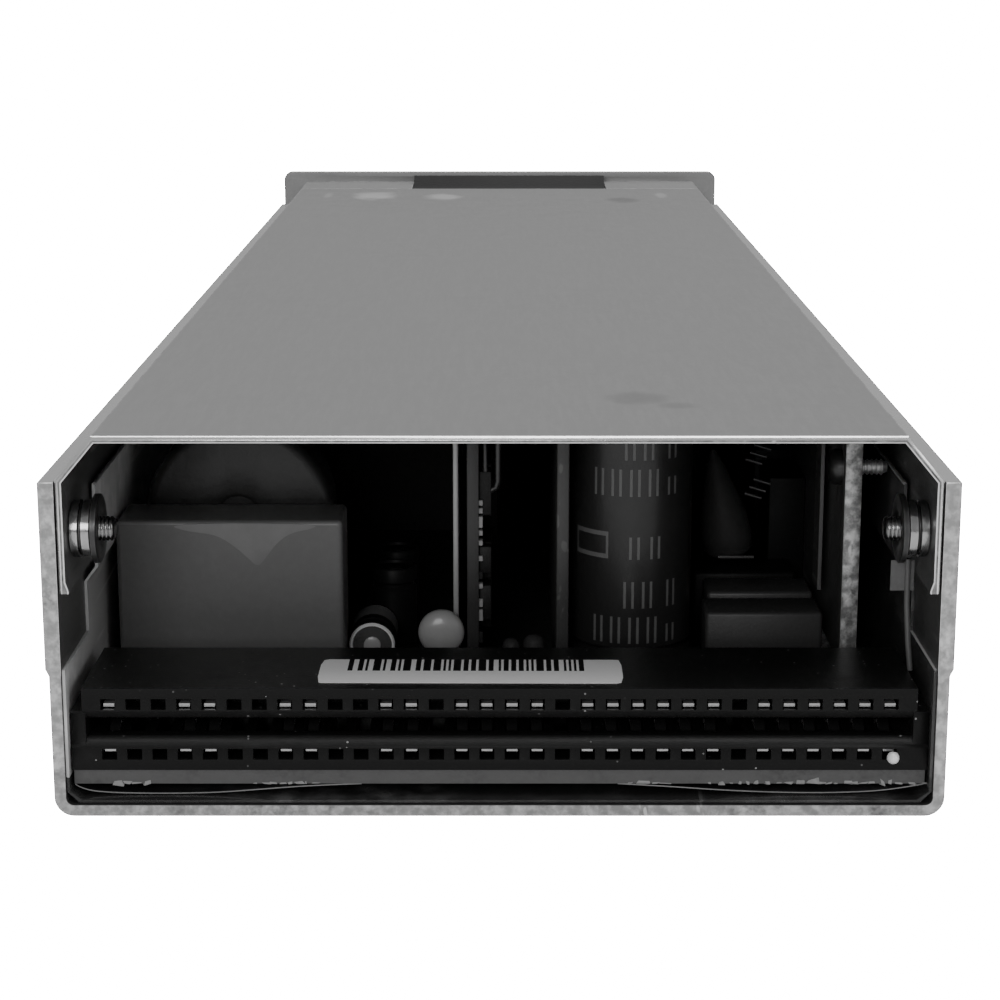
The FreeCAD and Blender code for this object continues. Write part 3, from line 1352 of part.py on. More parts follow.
def ribbon(points, thickness):
    """A closed outline of even thickness along a bent line of (depth, height) points."""
    half = thickness / 2
    near, far = [], []
    count = len(points)
    for i, (y, z) in enumerate(points):
        before = points[max(i - 1, 0)]
        after = points[min(i + 1, count - 1)]
        back = Vector(y - before[0], z - before[1], 0)
        ahead = Vector(after[0] - y, after[1] - z, 0)
        if i == 0:
            back = ahead
        if i == count - 1:
            ahead = back
        back.normalize()
        ahead.normalize()
        normal = Vector(-(back.y + ahead.y), back.x + ahead.x, 0)
        normal.normalize()
        mitre = half / max(normal.dot(Vector(-back.y, back.x, 0)), 0.5)
        near.append((y + normal.x * mitre, z + normal.y * mitre))
        far.append((y - normal.x * mitre, z - normal.y * mitre))
    return near + far[::-1]


def contact_row(label, sign):
    """One row of spring contacts, bowed into the card slot, tails down on the board."""
    face = S["face_setback"].value
    back = CONNECTOR_BACK.value
    middle = SLOT_MIDDLE.value
    sheet = S["contact_sheet"].value
    stem = S["cavity_offset"].value - sheet / 2 - 0.1
    bow = S["card_slot"].value / 2 - 0.25
    root = face + S["card_slot_depth"].value
    foot = BOARD_TOP.value + sheet / 2 + 0.01
    tail = back + (2.2 if sign > 0 else 0.9)
    line = [
        (face + 0.7, middle + sign * stem),
        (face + 2.2, middle + sign * stem),
        (face + 3.4, middle + sign * (stem * 0.62 + bow * 0.38)),
        (face + 4.8, middle + sign * bow),
        (face + 6.2, middle + sign * (stem * 0.35 + bow * 0.65)),
        (root - 0.5, middle + sign * stem),
        (tail - 0.4, middle + sign * stem),
        (tail, middle + sign * stem - 0.4),
        (tail, foot + 0.3),
        (tail + 0.3, foot),
        (tail + 0.9, foot),
    ]
    outline = [Vector(0, y, z) for y, z in ribbon(line, sheet)]
    face_shape = Part.Face(Part.makePolygon(outline + outline[:1]))
    width = S["contact_width"].value
    strip = face_shape.extrude(Vector(width, 0, 0))
    pitch = S["pole_pitch"].value
    count = int(POLE_COUNT.value)
    first = -pitch * (count - 1) / 2 - width / 2
    strips = []
    for pole in range(count):
        if pole in EMPTY_POLES:
            continue
        copy = strip.copy()
        copy.translate(Vector(first + pole * pitch, 0, 0))
        strips.append(copy)
    row = doc.addObject("Part::Feature", label)
    row.Shape = Part.makeCompound(strips)
    place(row, 0, RIM, 0)
    node(row, label)


# ---------------------------------------------------------------- parts on the board

def can(name, radius, height, x, depth):
    """An upright electrolytic can on its narrower rubber bung."""
    rise = S["can_bung"]
    bung = rod(name + "Bung", radius - S["can_bung_step"], rise + OVERLAP, x, depth, BOARD_TOP)
    barrel = rod(name + "Barrel", radius, height - rise, x, depth, BOARD_TOP + rise)
    return fuse(name, [bung, barrel])


def make_front_parts():
    """What stands behind the connector, from left to right."""
    right = -S["potted_right"]
    start = CONNECTOR_BACK + S["potted_setback"]
    potted = box("PottedBox", (-SIDE, right), (start, start + S["potted_depth"]),
                 (BOARD_TOP, BOARD_TOP + S["potted_height"]))
    potted_fillet = doc.addObject("Part::Fillet", "PottedCase")
    potted_fillet.Base = potted
    doc.recompute()
    round_off = S["potted_round"].value
    upright = []
    for number, edge in enumerate(potted.Shape.Edges, start=1):
        if edge.CenterOfMass.z > BOARD_TOP.value + round_off:
            upright.append((number, round_off, round_off))
    potted_fillet.Edges = upright
    node(potted_fillet, "potted_choke")
    ring_x = (right - SIDE) / 2
    ring_depth = start + S["potted_depth"] + S["toroid_gap"]
    ring_height = BOARD_TOP + S["toroid_height"]
    through = S["toroid_width"] + OVERLAP * 2
    core = rod("ToroidOuter", S["toroid_radius"], S["toroid_width"], ring_x, ring_depth, ring_height, "Y")
    eye = rod("ToroidEye", S["toroid_eye"], through, ring_x, ring_depth - OVERLAP, ring_height, "Y")
    node(cut("ToroidCut", core, eye), "toroid_choke")
    side = S["toroid_radius"] - S["potted_round"] * 2
    cradle = box("CradleBlock", (ring_x - side, ring_x + side), (ring_depth, ring_depth + S["toroid_width"]),
                 (BOARD_TOP, BOARD_TOP + S["cradle_height"]))
    dish = rod("CradleDish", S["toroid_radius"] + S["pin_play"], through, ring_x, ring_depth - OVERLAP,
               ring_height, "Y")
    node(cut("CradleCut", cradle, dish), "toroid_cradle")
    small = []
    radius = S["small_can_radius"]
    can_x = right + S["small_can_gap"] + radius
    can_start = CONNECTOR_BACK + S["small_can_setback"]
    can_height = BOARD_TOP + S["small_can_rise"] + radius
    small.append(rod("SmallCanA", radius, S["small_can_height"], can_x, can_start, can_height, "Y"))
    for number, tag in enumerate(("B", "C"), start=1):
        small.append(rod("SmallCan" + tag, radius, S["small_can_height"] * 1.5, can_x + radius * 0.8,
                         can_start + S["small_can_pitch"] * number + radius, BOARD_TOP))
    node(group("SmallCans", small), "small_capacitors")
    bead_x = -S["bead_place"]
    bead_depth = CONNECTOR_BACK + S["bead_setback"]
    bead = rod("DippedBead", S["bead_radius"], S["bead_thickness"], bead_x, bead_depth,
               BOARD_TOP + S["bead_height"], "Y")
    legs = []
    for side, tag in ((1, "R"), (-1, "L")):
        legs.append(rod("DippedLeg" + tag, S["lead_radius"], S["bead_height"],
                        bead_x + S["bead_radius"] / 2 * side, bead_depth + S["bead_thickness"] / 2,
                        BOARD_TOP))
    node(fuse("DippedCapacitor", [bead] + legs), "dipped_capacitor")


def rounded_bar(name, x, depth, z, corner):
    """An upright bar along the case, its lower front corner rounded off."""
    blank = box(name + "Blank", x, depth, z)
    rounded = doc.addObject("Part::Fillet", name)
    rounded.Base = blank
    doc.recompute()
    edges = []
    for number, edge in enumerate(blank.Shape.Edges, start=1):
        middle = edge.CenterOfMass
        if close(middle.y, dim(depth[0]) + RIM) and close(middle.z, z[0]):
            edges.append((number, corner.value, corner.value))
    rounded.Edges = edges
    return rounded


PACKAGE_DEPTHS = [CONNECTOR_BACK + S["package_setback"] + S["package_pitch"] * i for i in range(3)]


def packages_on(tag, sink, side):
    """Three power packages on a heatsink's face, on three legs each."""
    sets = []
    body_low = BOARD_TOP + S["package_lift"]
    leg = S["leg_width"] / 2
    for number, depth in enumerate(PACKAGE_DEPTHS):
        name = "Package%s%d" % (tag, number)
        near, far = sorted((dim(0), S["package_thickness"] * side), key=lambda size: size.value)
        middle = sink + S["package_thickness"] / 2 * side
        pieces = [box(name, (sink + near, sink + far), (depth, depth + S["package_width"]),
                      (body_low, body_low + S["package_height"]))]
        for pin in (-1, 0, 1):
            place_y = depth + S["package_width"] / 2 + S["leg_pitch"] * pin
            pieces.append(box("%sLeg%d" % (name, pin + 1), (middle - leg, middle + leg),
                              (place_y - leg, place_y + leg), (BOARD_TOP, body_low + OVERLAP)))
        sets.append(fuse(name + "Set", pieces))
    return sets


def make_heatsinks():
    """Three upright metal plates, the packages on them and the bus bar's screw."""
    top = ROOF - S["case_clearance"]
    strip_x = -S["strip_place"]
    strip_start = CONNECTOR_BACK + S["strip_setback"]
    strip_right = strip_x + S["strip_sheet"]
    strip = box("LeftSink", (strip_x, strip_right), (strip_start, strip_start + S["strip_length"]),
                (BOARD_TOP, top))
    node(strip, "left_heatsink")
    sink_x = S["sink_place"]
    sink_start = CONNECTOR_BACK + S["sink_setback"]
    sink = box("MiddleSink", (sink_x, sink_x + S["sink_sheet"]),
               (sink_start, sink_start + S["sink_length"]), (BOARD_TOP, top))
    node(sink, "middle_heatsink")
    bar = (BAR_PLACE, BAR_PLACE + S["bar_sheet"])
    bar_start = CONNECTOR_BACK + S["bar_setback"]
    bar_end = bar_start + S["bar_length"]
    lift = BOARD_TOP + S["bar_lift"]
    upper = rounded_bar("BusBar", bar, (bar_start, bar_end), (lift, top), S["bar_corner"])
    foot = box("BusBarFoot", bar, (bar_start + S["bar_foot"], bar_end), (BOARD_TOP, lift + OVERLAP))
    screw_depth = bar_start + S["bar_screw_setback"]
    screw_height = top - S["bar_screw_drop"]
    shank_radius = S["bar_screw_radius"]
    drill = rod("BarHole", shank_radius + S["pin_play"], S["bar_sheet"] + OVERLAP * 2,
                bar[0] - OVERLAP, screw_depth, screw_height, "X")
    node(cut("BusBarCut", fuse("BusBarJoined", [upper, foot]), drill), "right_heatsink")
    head_start = bar[0] - S["head_thickness"]
    head = rod("BarScrewHead", S["bar_screw_head"], S["head_thickness"], head_start, screw_depth,
               screw_height, "X")
    shank = rod("BarScrewShank", shank_radius,
                S["head_thickness"] + S["bar_sheet"] + S["bar_screw_reach"], head_start, screw_depth,
                screw_height, "X")
    node(fuse("BarScrew", [head, shank]), "heatsink_screw")
    bundles = packages_on("L", strip_right, 1) + packages_on("R", bar[0], -1)
    node(group("PowerPackages", bundles), "power_transistors")


CHIPS = (
    # depth behind the board's front edge, height, length, rise
    (0.8, 8.0, 3.0, 4.0),
    (0.6, 13.5, 1.6, 3.0),
    (4.6, 6.0, 7.0, 10.0),
    (4.6, 19.0, 10.0, 6.0),
    (0.8, 20.0, 2.4, 5.0),
    (15.6, 8.0, 5.0, 5.0),
)


def make_control_board():
    """The upright control board with its surface mounted parts."""
    left = -S["control_place"]
    right = left + S["control_sheet"]
    start = CONNECTOR_BACK + S["control_setback"]
    board = box("ControlBoard", (left, right), (start, start + S["control_depth"]),
                (BOARD_TOP, ROOF - S["case_clearance"]))
    node(board, "control_board")
    chips = []
    for number, (depth, z, long, tall) in enumerate(CHIPS):
        near = start + depth
        low = BOARD_TOP + z
        chips.append(box("Chip%d" % number, (right, right + S["chip_height"]), (near, near + long),
                         (low, low + tall)))
    node(group("ControlChips", chips), "control_board_chips")


def make_output_parts():
    """The tall output cans, and the film capacitors beside them."""
    cans = []
    radius = S["output_can_radius"]
    step = radius * 2 + S["output_can_gap"]
    start = CONNECTOR_BACK + S["output_can_setback"]
    for i in range(4):
        cans.append(can("OutputCan%d" % i, radius, HEADROOM - S["output_can_headroom"],
                        S["output_can_place"], start + step * i))
    node(group("OutputCans", cans), "output_capacitors")
    boxes = []
    box_start = CONNECTOR_BACK + S["film_box_setback"]
    for i in range(3):
        depth = box_start + S["film_box_pitch"] * i
        left = S["film_box_left"] + S["film_box_step"] * (i % 2)
        right = BAR_PLACE - S["film_box_gap"] - S["film_box_step"] * (i // 2)
        boxes.append(box("FilmBox%d" % i, (left, right), (depth, depth + S["film_box_depth"]),
                         (BOARD_TOP, BOARD_TOP + S["film_box_height"])))
    node(group("FilmBoxes", boxes), "film_capacitors")


def make_transformer():
    """The transformer: a ferrite frame seated on the board and its round winding."""
    left = -(SIDE - S["core_side_gap"])
    middle = left + S["core_width"] / 2
    start = CONNECTOR_BACK + S["core_setback"]
    centre = start + S["core_length"] / 2
    shell = S["core_shell"]
    core_top = BOARD_TOP + S["core_height"]
    outer = box("CoreOuter", (left, left + S["core_width"]), (start, start + S["core_length"]),
                (BOARD_TOP, core_top))
    eye = box("CoreEye", (left - OVERLAP, left + S["core_width"] + OVERLAP),
              (start + S["core_end"], start + S["core_length"] - S["core_end"]),
              (BOARD_TOP + shell, core_top - shell))
    leg = rod("CoreLeg", S["core_leg"], S["core_height"] - OVERLAP * 2, middle, centre,
              BOARD_TOP + OVERLAP)
    node(fuse("TransformerCore", [cut("CoreWindow", outer, eye), leg]), "transformer_core")
    play = S["winding_play"]
    coil = rod("WindingOuter", S["winding_radius"], S["core_height"] - (shell + play) * 2, middle, centre,
               BOARD_TOP + shell + play)
    hole = rod("WindingHole", S["core_leg"] + play, S["core_height"], middle, centre, BOARD_TOP)
    node(cut("WindingCut", coil, hole), "transformer_winding")


def make_primary_side():
    """Bulk capacitor, boost choke, bridge, line filter and fuse towards the faceplate."""
    fuse_x = SIDE - S["fuse_side_gap"]
    clip_half = S["clip_width"] / 2
    radius = (HEADROOM - S["bulk_can_headroom"] - S["bulk_can_lift"]) / 2
    bulk_x = fuse_x - clip_half - S["bulk_can_gap"] - radius
    node(rod("BulkCan", radius, S["bulk_can_length"], bulk_x,
             BOARD_END - S["bulk_can_inset"] - S["bulk_can_length"],
             BOARD_TOP + radius + S["bulk_can_lift"], "Y"), "bulk_capacitor")
    boost_radius = S["boost_radius"]
    boost_x = -(SIDE - S["boost_side_gap"] - boost_radius)
    boost_start = BOARD_END - S["boost_inset"] - S["boost_width"]
    boost_height = BOARD_TOP + boost_radius + S["pin_play"]
    choke = rod("BoostOuter", boost_radius, S["boost_width"], boost_x, boost_start, boost_height, "Y")
    choke_eye = rod("BoostEye", S["boost_eye"], S["boost_width"] + OVERLAP * 2, boost_x,
                    boost_start - OVERLAP, boost_height, "Y")
    node(cut("BoostChoke", choke, choke_eye), "boost_choke")
    bridge_left = -(SIDE - S["bridge_side_gap"])
    bridge_start = BOARD_END - S["bridge_inset"] - S["bridge_thickness"]
    bridge_low = BOARD_TOP + S["bridge_lift"]
    bridge = box("BridgeBody", (bridge_left, bridge_left + S["bridge_width"]),
                 (bridge_start, bridge_start + S["bridge_thickness"]),
                 (bridge_low, bridge_low + S["bridge_height"]))
    middle = bridge_start + S["bridge_thickness"] / 2
    leg_half = S["leg_width"] / 2
    legs = []
    for i in range(4):
        leg_x = bridge_left + S["bridge_width"] / 2 + S["bridge_leg_pitch"] * (i - 1.5)
        legs.append(box("BridgeLeg%d" % i, (leg_x - leg_half, leg_x + leg_half),
                        (middle - leg_half, middle + leg_half), (BOARD_TOP, bridge_low + OVERLAP)))
    node(fuse("Bridge", [bridge] + legs), "bridge_rectifier")
    left = S["filter_place"]
    right = left + S["filter_width"]
    start = CONNECTOR_BACK + S["filter_setback"]
    end = start + S["filter_depth"]
    rim = S["filter_frame"]
    filter_core = box("FilterCore", (left, right), (start, end), (BOARD_TOP, BOARD_TOP + S["filter_height"]))
    filter_eye = box("FilterEye", (left + rim, right - rim), (start - OVERLAP, end + OVERLAP),
                     (BOARD_TOP + rim, BOARD_TOP + S["filter_height"] - rim))
    node(cut("FilterChoke", filter_core, filter_eye), "filter_choke")
    make_fuse(fuse_x, clip_half)


def make_fuse(x, half):
    """The mains fuse in its two open clips."""
    start = BOARD_END - S["fuse_inset"] - S["fuse_length"]
    height = BOARD_TOP + S["fuse_height"]
    seat_radius = S["fuse_radius"] + S["clip_play"]
    mouth_half = S["fuse_radius"] * 0.64
    node(rod("FuseTube", S["fuse_radius"], S["fuse_length"], x, start, height, "Y"), "mains_fuse")
    clips = []
    clip_starts = (
        start + S["clip_margin"],
        start + S["fuse_length"] - S["clip_margin"] - S["clip_depth"],
    )
    for number, depth in enumerate(clip_starts):
        end = depth + S["clip_depth"]
        block = box("ClipBlock%d" % number, (x - half, x + half), (depth, end),
                    (BOARD_TOP, BOARD_TOP + S["clip_height"]))
        seat = rod("ClipSeat%d" % number, seat_radius, S["clip_depth"] + OVERLAP * 2, x, depth - OVERLAP,
                   height, "Y")
        mouth = box("ClipMouth%d" % number, (x - mouth_half, x + mouth_half),
                    (depth - OVERLAP, end + OVERLAP), (height, BOARD_TOP + S["clip_height"] + OVERLAP))
        clips.append(cut("Clip%d" % number, block, fuse("ClipHollow%d" % number, [seat, mouth])))
    node(group("FuseClips", clips), "fuse_clips")


def check_and_export():
    """Stop on any failed object, then write one STEP file for each sub-part."""
    doc.recompute()
    for item in doc.Objects:
        if "Invalid" in item.State or "Error" in item.State:
            raise RuntimeError("%s failed: %s" % (item.Label, item.State))
    for item in NODES:
        if item.Shape.isNull() or not item.Shape.isValid():
            raise RuntimeError("%s has no valid shape" % item.Label)
        if not item.Shape.Solids:
            raise RuntimeError("%s has no solid" % item.Label)
    os.makedirs("parts", exist_ok=True)
    for item in NODES:
        item.Shape.exportStep(os.path.join("parts", item.Label + ".step"))


make_tray()
make_cover()
make_cover_fasteners()
make_faceplate()
make_plate_screws()
make_latch()
make_latch_spring()
make_handle()
make_bulkhead()
make_fan_frame()
make_fan_rotor()
make_inlet()
make_lights()
make_board()
make_film()
make_connector()
contact_row("upper_contacts", 1)
contact_row("lower_contacts", -1)
make_front_parts()
make_heatsinks()
make_control_board()
make_output_parts()
make_transformer()
make_primary_side()
check_and_export()
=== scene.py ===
"""A slim hot swap server power supply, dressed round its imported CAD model.

The file runs from shader effects and finishes to modelling tools, sub-assemblies and
the studio. Each sub-assembly is a class whose fields are its sizes and whose methods
model and dress it. Sizes are in metres, but the points of profiles and outlines and
the places that at() takes are in millimetres.
"""

import logging
import math
import random
from collections.abc import Callable, Iterable, Iterator, Sequence
from contextlib import contextmanager
from dataclasses import dataclass
from enum import Enum

import bpy
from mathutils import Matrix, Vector


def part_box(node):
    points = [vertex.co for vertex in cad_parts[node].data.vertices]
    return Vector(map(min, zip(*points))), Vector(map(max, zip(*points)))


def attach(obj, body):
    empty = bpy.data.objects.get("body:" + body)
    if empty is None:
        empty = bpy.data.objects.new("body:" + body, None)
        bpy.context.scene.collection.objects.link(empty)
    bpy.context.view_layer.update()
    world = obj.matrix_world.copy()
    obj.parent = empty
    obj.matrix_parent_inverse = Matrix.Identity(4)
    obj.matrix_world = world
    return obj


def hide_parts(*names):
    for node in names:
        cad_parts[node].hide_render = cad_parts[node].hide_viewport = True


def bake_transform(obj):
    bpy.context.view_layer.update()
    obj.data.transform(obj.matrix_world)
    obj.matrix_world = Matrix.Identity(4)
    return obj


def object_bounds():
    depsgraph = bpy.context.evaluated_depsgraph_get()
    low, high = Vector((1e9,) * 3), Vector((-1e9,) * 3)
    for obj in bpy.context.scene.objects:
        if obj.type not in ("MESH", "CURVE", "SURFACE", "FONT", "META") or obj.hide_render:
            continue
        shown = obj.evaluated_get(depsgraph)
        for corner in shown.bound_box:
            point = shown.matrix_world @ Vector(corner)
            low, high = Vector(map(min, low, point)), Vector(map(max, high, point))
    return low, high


log = logging.getLogger("power_supply")

Piece = bpy.types.Object
Socket = bpy.types.NodeSocket
Colour = tuple[float, float, float, float]
Pairs = Sequence[tuple[float, float]]
Rings = list[tuple[float, float]]
Face = bpy.types.MeshPolygon

MM = 0.001
MERGE = 1e-6
ACROSS, ALONG, UP = (Vector(way) for way in ((1, 0, 0), (0, 1, 0), (0, 0, 1)))

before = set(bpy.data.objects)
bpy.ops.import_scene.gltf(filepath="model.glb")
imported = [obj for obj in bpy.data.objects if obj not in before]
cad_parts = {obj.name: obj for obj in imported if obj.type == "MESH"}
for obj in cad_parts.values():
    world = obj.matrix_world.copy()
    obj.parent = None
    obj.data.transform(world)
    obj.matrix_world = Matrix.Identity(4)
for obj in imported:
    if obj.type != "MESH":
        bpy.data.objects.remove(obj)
cad_low, cad_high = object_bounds()

TRAY_LOW, TRAY_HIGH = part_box("chassis_tray")
RIM = TRAY_LOW.y
BOARD_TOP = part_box("main_board")[1].z
CASE = "case"


def at(x: float, depth: float, height: float) -> Vector:
    """A point from millimetres: across, in from the open end's rim, and up."""
    return Vector((x * MM, RIM + depth * MM, height * MM))


def metres(pairs: Pairs) -> Rings:
    """Pairs of millimetres as pairs of metres."""
    return [(first * MM, second * MM) for first, second in pairs]


def grey(level: float) -> Colour:
    """An opaque neutral colour of one brightness."""
    return (level, level, level, 1.0)


# ---------------------------------------------------------------- shader effects


class Graph:
    """A shader or group tree that is wired up one node at a time."""

    def __init__(self, tree: bpy.types.NodeTree) -> None:
        """Start with the tree that nodes are added to."""
        self.tree = tree

    def add(self, kind: str, feeds: dict[str | int, object] | None = None,
            **settings: object) -> bpy.types.Node:
        """Add a node.

        Args:
            kind: The node's type without its ShaderNode prefix.
            feeds: The value or socket that each input gets, by the input's name or number.
            **settings: Properties of the node, such as its operation.

        Returns:
            The new node.
        """
        item = self.tree.nodes.new("ShaderNode" + kind)
        for name, value in settings.items():
            setattr(item, name, value)
        for name, value in (feeds or {}).items():
            if isinstance(value, Socket):
                self.tree.links.new(value, item.inputs[name])
            else:
                item.inputs[name].default_value = value
        return item

    def math(self, operation: str, first: object, second: object = 0.0) -> Socket:
        """Combine two numbers or sockets and return the result's socket."""
        return self.add("Math", {0: first, 1: second}, operation=operation).outputs[0]

    def times(self, first: object, second: object) -> Socket:
        """The product of two numbers or sockets."""
        return self.math("MULTIPLY", first, second)

    def ramp(self, value: Socket, low: float, high: float) -> Socket:
        """Stretch a value so that low becomes 0 and high becomes 1."""
        feeds = {"Value": value, "From Min": low, "From Max": high}
        return self.add("MapRange", feeds, interpolation_type="SMOOTHSTEP").outputs["Result"]

    def blend(self, mask: object, base: object, top: object) -> Socket:
        """Mix two colours by a mask and return the colour's socket."""
        return self.add("Mix", {0: mask, 6: base, 7: top}, data_type="RGBA").outputs[2]

    def noise(self, vector: Socket, scale: object, detail: float = 2.0, rough: float = 0.5) -> Socket:
        """A noise pattern's value at the coordinates."""
        feeds = {"Vector": vector, "Scale": scale, "Detail": detail, "Roughness": rough}
        return self.add("TexNoise", feeds).outputs[0]

    def show(self, shader: bpy.types.Node, output: str = "OutputMaterial") -> None:
        """Send a shader to the tree's output."""
        self.add(output, {"Surface": shader.outputs[0]})


class Pattern(Graph):
    """A node group's tree with the sockets that it is given, and the patterns made in one."""

    def __init__(self, tree: bpy.types.NodeTree, given: bpy.types.bpy_prop_collection) -> None:
        """Start with the tree and the outputs of its input node.

        Args:
            tree: The group's tree.
            given: Its inputs, of which Vector is always there.
        """
        super().__init__(tree)
        self.given = given
        self.vector = given["Vector"]

    def scratches(self) -> Socket:
        """Thin straight scratches at several angles, in patches.

        Returns:
            The scratches' mask.
        """
        masks = []
        for turn in (0.15, 0.9, -0.6, 2.1):
            lines = self.add("Mapping", {"Vector": self.vector, "Scale": (1.0, 0.035, 0.5),
                                         "Rotation": (turn * 0.3, 0.2, turn)})
            value = self.noise(lines.outputs["Vector"], self.given["Scale"], 1.0)
            masks.append(self.ramp(value, 0.69, 0.76))
        halves = [self.math("MAXIMUM", *masks[start:start + 2]) for start in (0, 2)]
        patches = self.ramp(self.noise(self.vector, 55.0), 0.42, 0.66)
        return self.times(self.math("MAXIMUM", *halves), patches)

    def smudges(self) -> Socket:
        """Soft blotches, as of handling and thin dust.

        Returns:
            The blotches' mask.
        """
        wide = self.ramp(self.noise(self.vector, self.given["Scale"], 3.0), 0.44, 0.68)
        fine = self.noise(self.vector, self.times(self.given["Scale"], 7.0), 3.0)
        return self.times(wide, self.ramp(fine, 0.3, 0.75))

    def grain(self) -> Socket:
        """A fine surface grain that can be drawn out along Y.

        Returns:
            The grain's height.
        """
        split = self.add("SeparateXYZ", {0: self.vector}).outputs
        drawn = self.math("DIVIDE", split[1], self.given["Draw"])
        joined = self.add("CombineXYZ", {0: split[0], 1: drawn, 2: split[2]})
        return self.noise(joined.outputs[0], self.given["Scale"], 3.0, 0.6)

    def worn_edges(self) -> Socket:
        """Broken wear along the edges of a piece.

        Returns:
            The wear's mask.
        """
        rounded = self.add("Bevel", {"Radius": self.given["Radius"]}, samples=4).outputs[0]
        flat = self.add("NewGeometry").outputs["Normal"]
        turn = self.add("VectorMath", {0: rounded, 1: flat}, operation="DOT_PRODUCT")
        edge = self.ramp(self.math("SUBTRACT", 1.0, turn.outputs["Value"]), 0.01, 0.16)
        broken = self.ramp(self.noise(self.vector, self.given["Scale"], 4.0), 0.34, 0.62)
        return self.times(edge, broken)

    def specks(self) -> Socket:
        """Sparse small dots in patches, as of dust.

        Returns:
            The dots' mask.
        """
        cells = self.add("TexVoronoi", {"Vector": self.vector, "Scale": self.given["Scale"]}).outputs
        near = self.math("LESS_THAN", cells["Distance"], 0.17)
        picks = self.add("SeparateColor", {0: cells["Color"]}).outputs
        rare = self.math("GREATER_THAN", picks[0], 0.83)
        patches = self.ramp(self.noise(self.vector, 90.0), 0.42, 0.6)
        return self.times(self.times(near, rare), patches)

    def spot(self) -> Socket:
        """One soft oval mark at a place on a level face.

        Returns:
            The mark's mask.
        """
        split = self.add("SeparateXYZ", {0: self.vector}).outputs
        steps = []
        for axis, reach in (("X", "Width"), ("Y", "Length")):
            step = self.math("SUBTRACT", split[axis], self.given[axis])
            step = self.math("DIVIDE", step, self.given[reach])
            steps.append(self.times(step, step))
        wobble = self.times(self.noise(self.vector, 260.0, 3.0), 1.1)
        distance = self.math("ADD", self.math("ADD", *steps), wobble)
        return self.math("SUBTRACT", 1.0, self.ramp(distance, 0.55, 1.5))


@dataclass(frozen=True)
class Effect:
    """An effect that several finishes share: one node group, its float inputs and its output."""

    name: str
    pattern: Callable[[Pattern], Socket]
    inputs: dict[str, float]
    output: str = "Mask"

    def tree(self) -> bpy.types.NodeTree:
        """Build the group, or find it again.

        Returns:
            The group's tree, which also has a Vector input.
        """
        found = bpy.data.node_groups.get(self.name)
        if found:
            return found
        tree = bpy.data.node_groups.new(self.name, "ShaderNodeTree")
        tree.interface.new_socket("Vector", in_out="INPUT", socket_type="NodeSocketVector")
        for label, value in self.inputs.items():
            socket = tree.interface.new_socket(label, in_out="INPUT", socket_type="NodeSocketFloat")
            socket.default_value = value
        tree.interface.new_socket(self.output, in_out="OUTPUT", socket_type="NodeSocketFloat")
        source = tree.nodes.new("NodeGroupInput")
        drain = tree.nodes.new("NodeGroupOutput")
        tree.links.new(self.pattern(Pattern(tree, source.outputs)), drain.inputs[self.output])
        return tree

    def place(self, graph: Graph, vector: Socket, **values: float) -> Socket:
        """Put the group into a material with its own values and return its output."""
        return graph.add("Group", {"Vector": vector, **values}, node_tree=self.tree()).outputs[0]


SCRATCHES = Effect("scratches", Pattern.scratches, {"Scale": 900.0})
SMUDGES = Effect("smudges", Pattern.smudges, {"Scale": 22.0})
GRAIN = Effect("surface_grain", Pattern.grain, {"Scale": 2500.0, "Draw": 1.0}, "Height")
WORN_EDGES = Effect("worn_edges", Pattern.worn_edges, {"Radius": 0.0002, "Scale": 420.0})
SPECKS = Effect("dust_specks", Pattern.specks, {"Scale": 1500.0})
SPOT = Effect("soft_oval_spot", Pattern.spot, {"X": 0.0, "Y": 0.0, "Width": 0.01, "Length": 0.01})


def fresh(library: bpy.types.bpy_prop_collection, name: str) -> tuple[bpy.types.ID, Graph]:
    """Add a material or a world with an empty tree.

    Args:
        library: Where it is kept, such as bpy.data.materials.
        name: Its name.

    Returns:
        The new material or world and the graph that fills its tree.
    """
    made = library.new(name)
    made.use_nodes = True
    made.node_tree.nodes.clear()
    return made, Graph(made.node_tree)


# ---------------------------------------------------------------- finishes


class Coating:
    """What every finish has: a name, a slot and one material."""

    name: str
    slot: str

    def material(self) -> bpy.types.Material:
        """The finish's material, made the first time it is asked for."""
        return bpy.data.materials.get(self.name) or self.make()

    def make(self) -> bpy.types.Material:
        """Build the material; each kind of finish has its own way."""
        raise NotImplementedError


@dataclass(frozen=True)
class Spot:
    """A soft oval mark on a level face: its middle and half sizes in mm, strength and tone."""

    x: float
    depth: float
    width: float
    length: float
    strength: float
    tone: float = 0.1


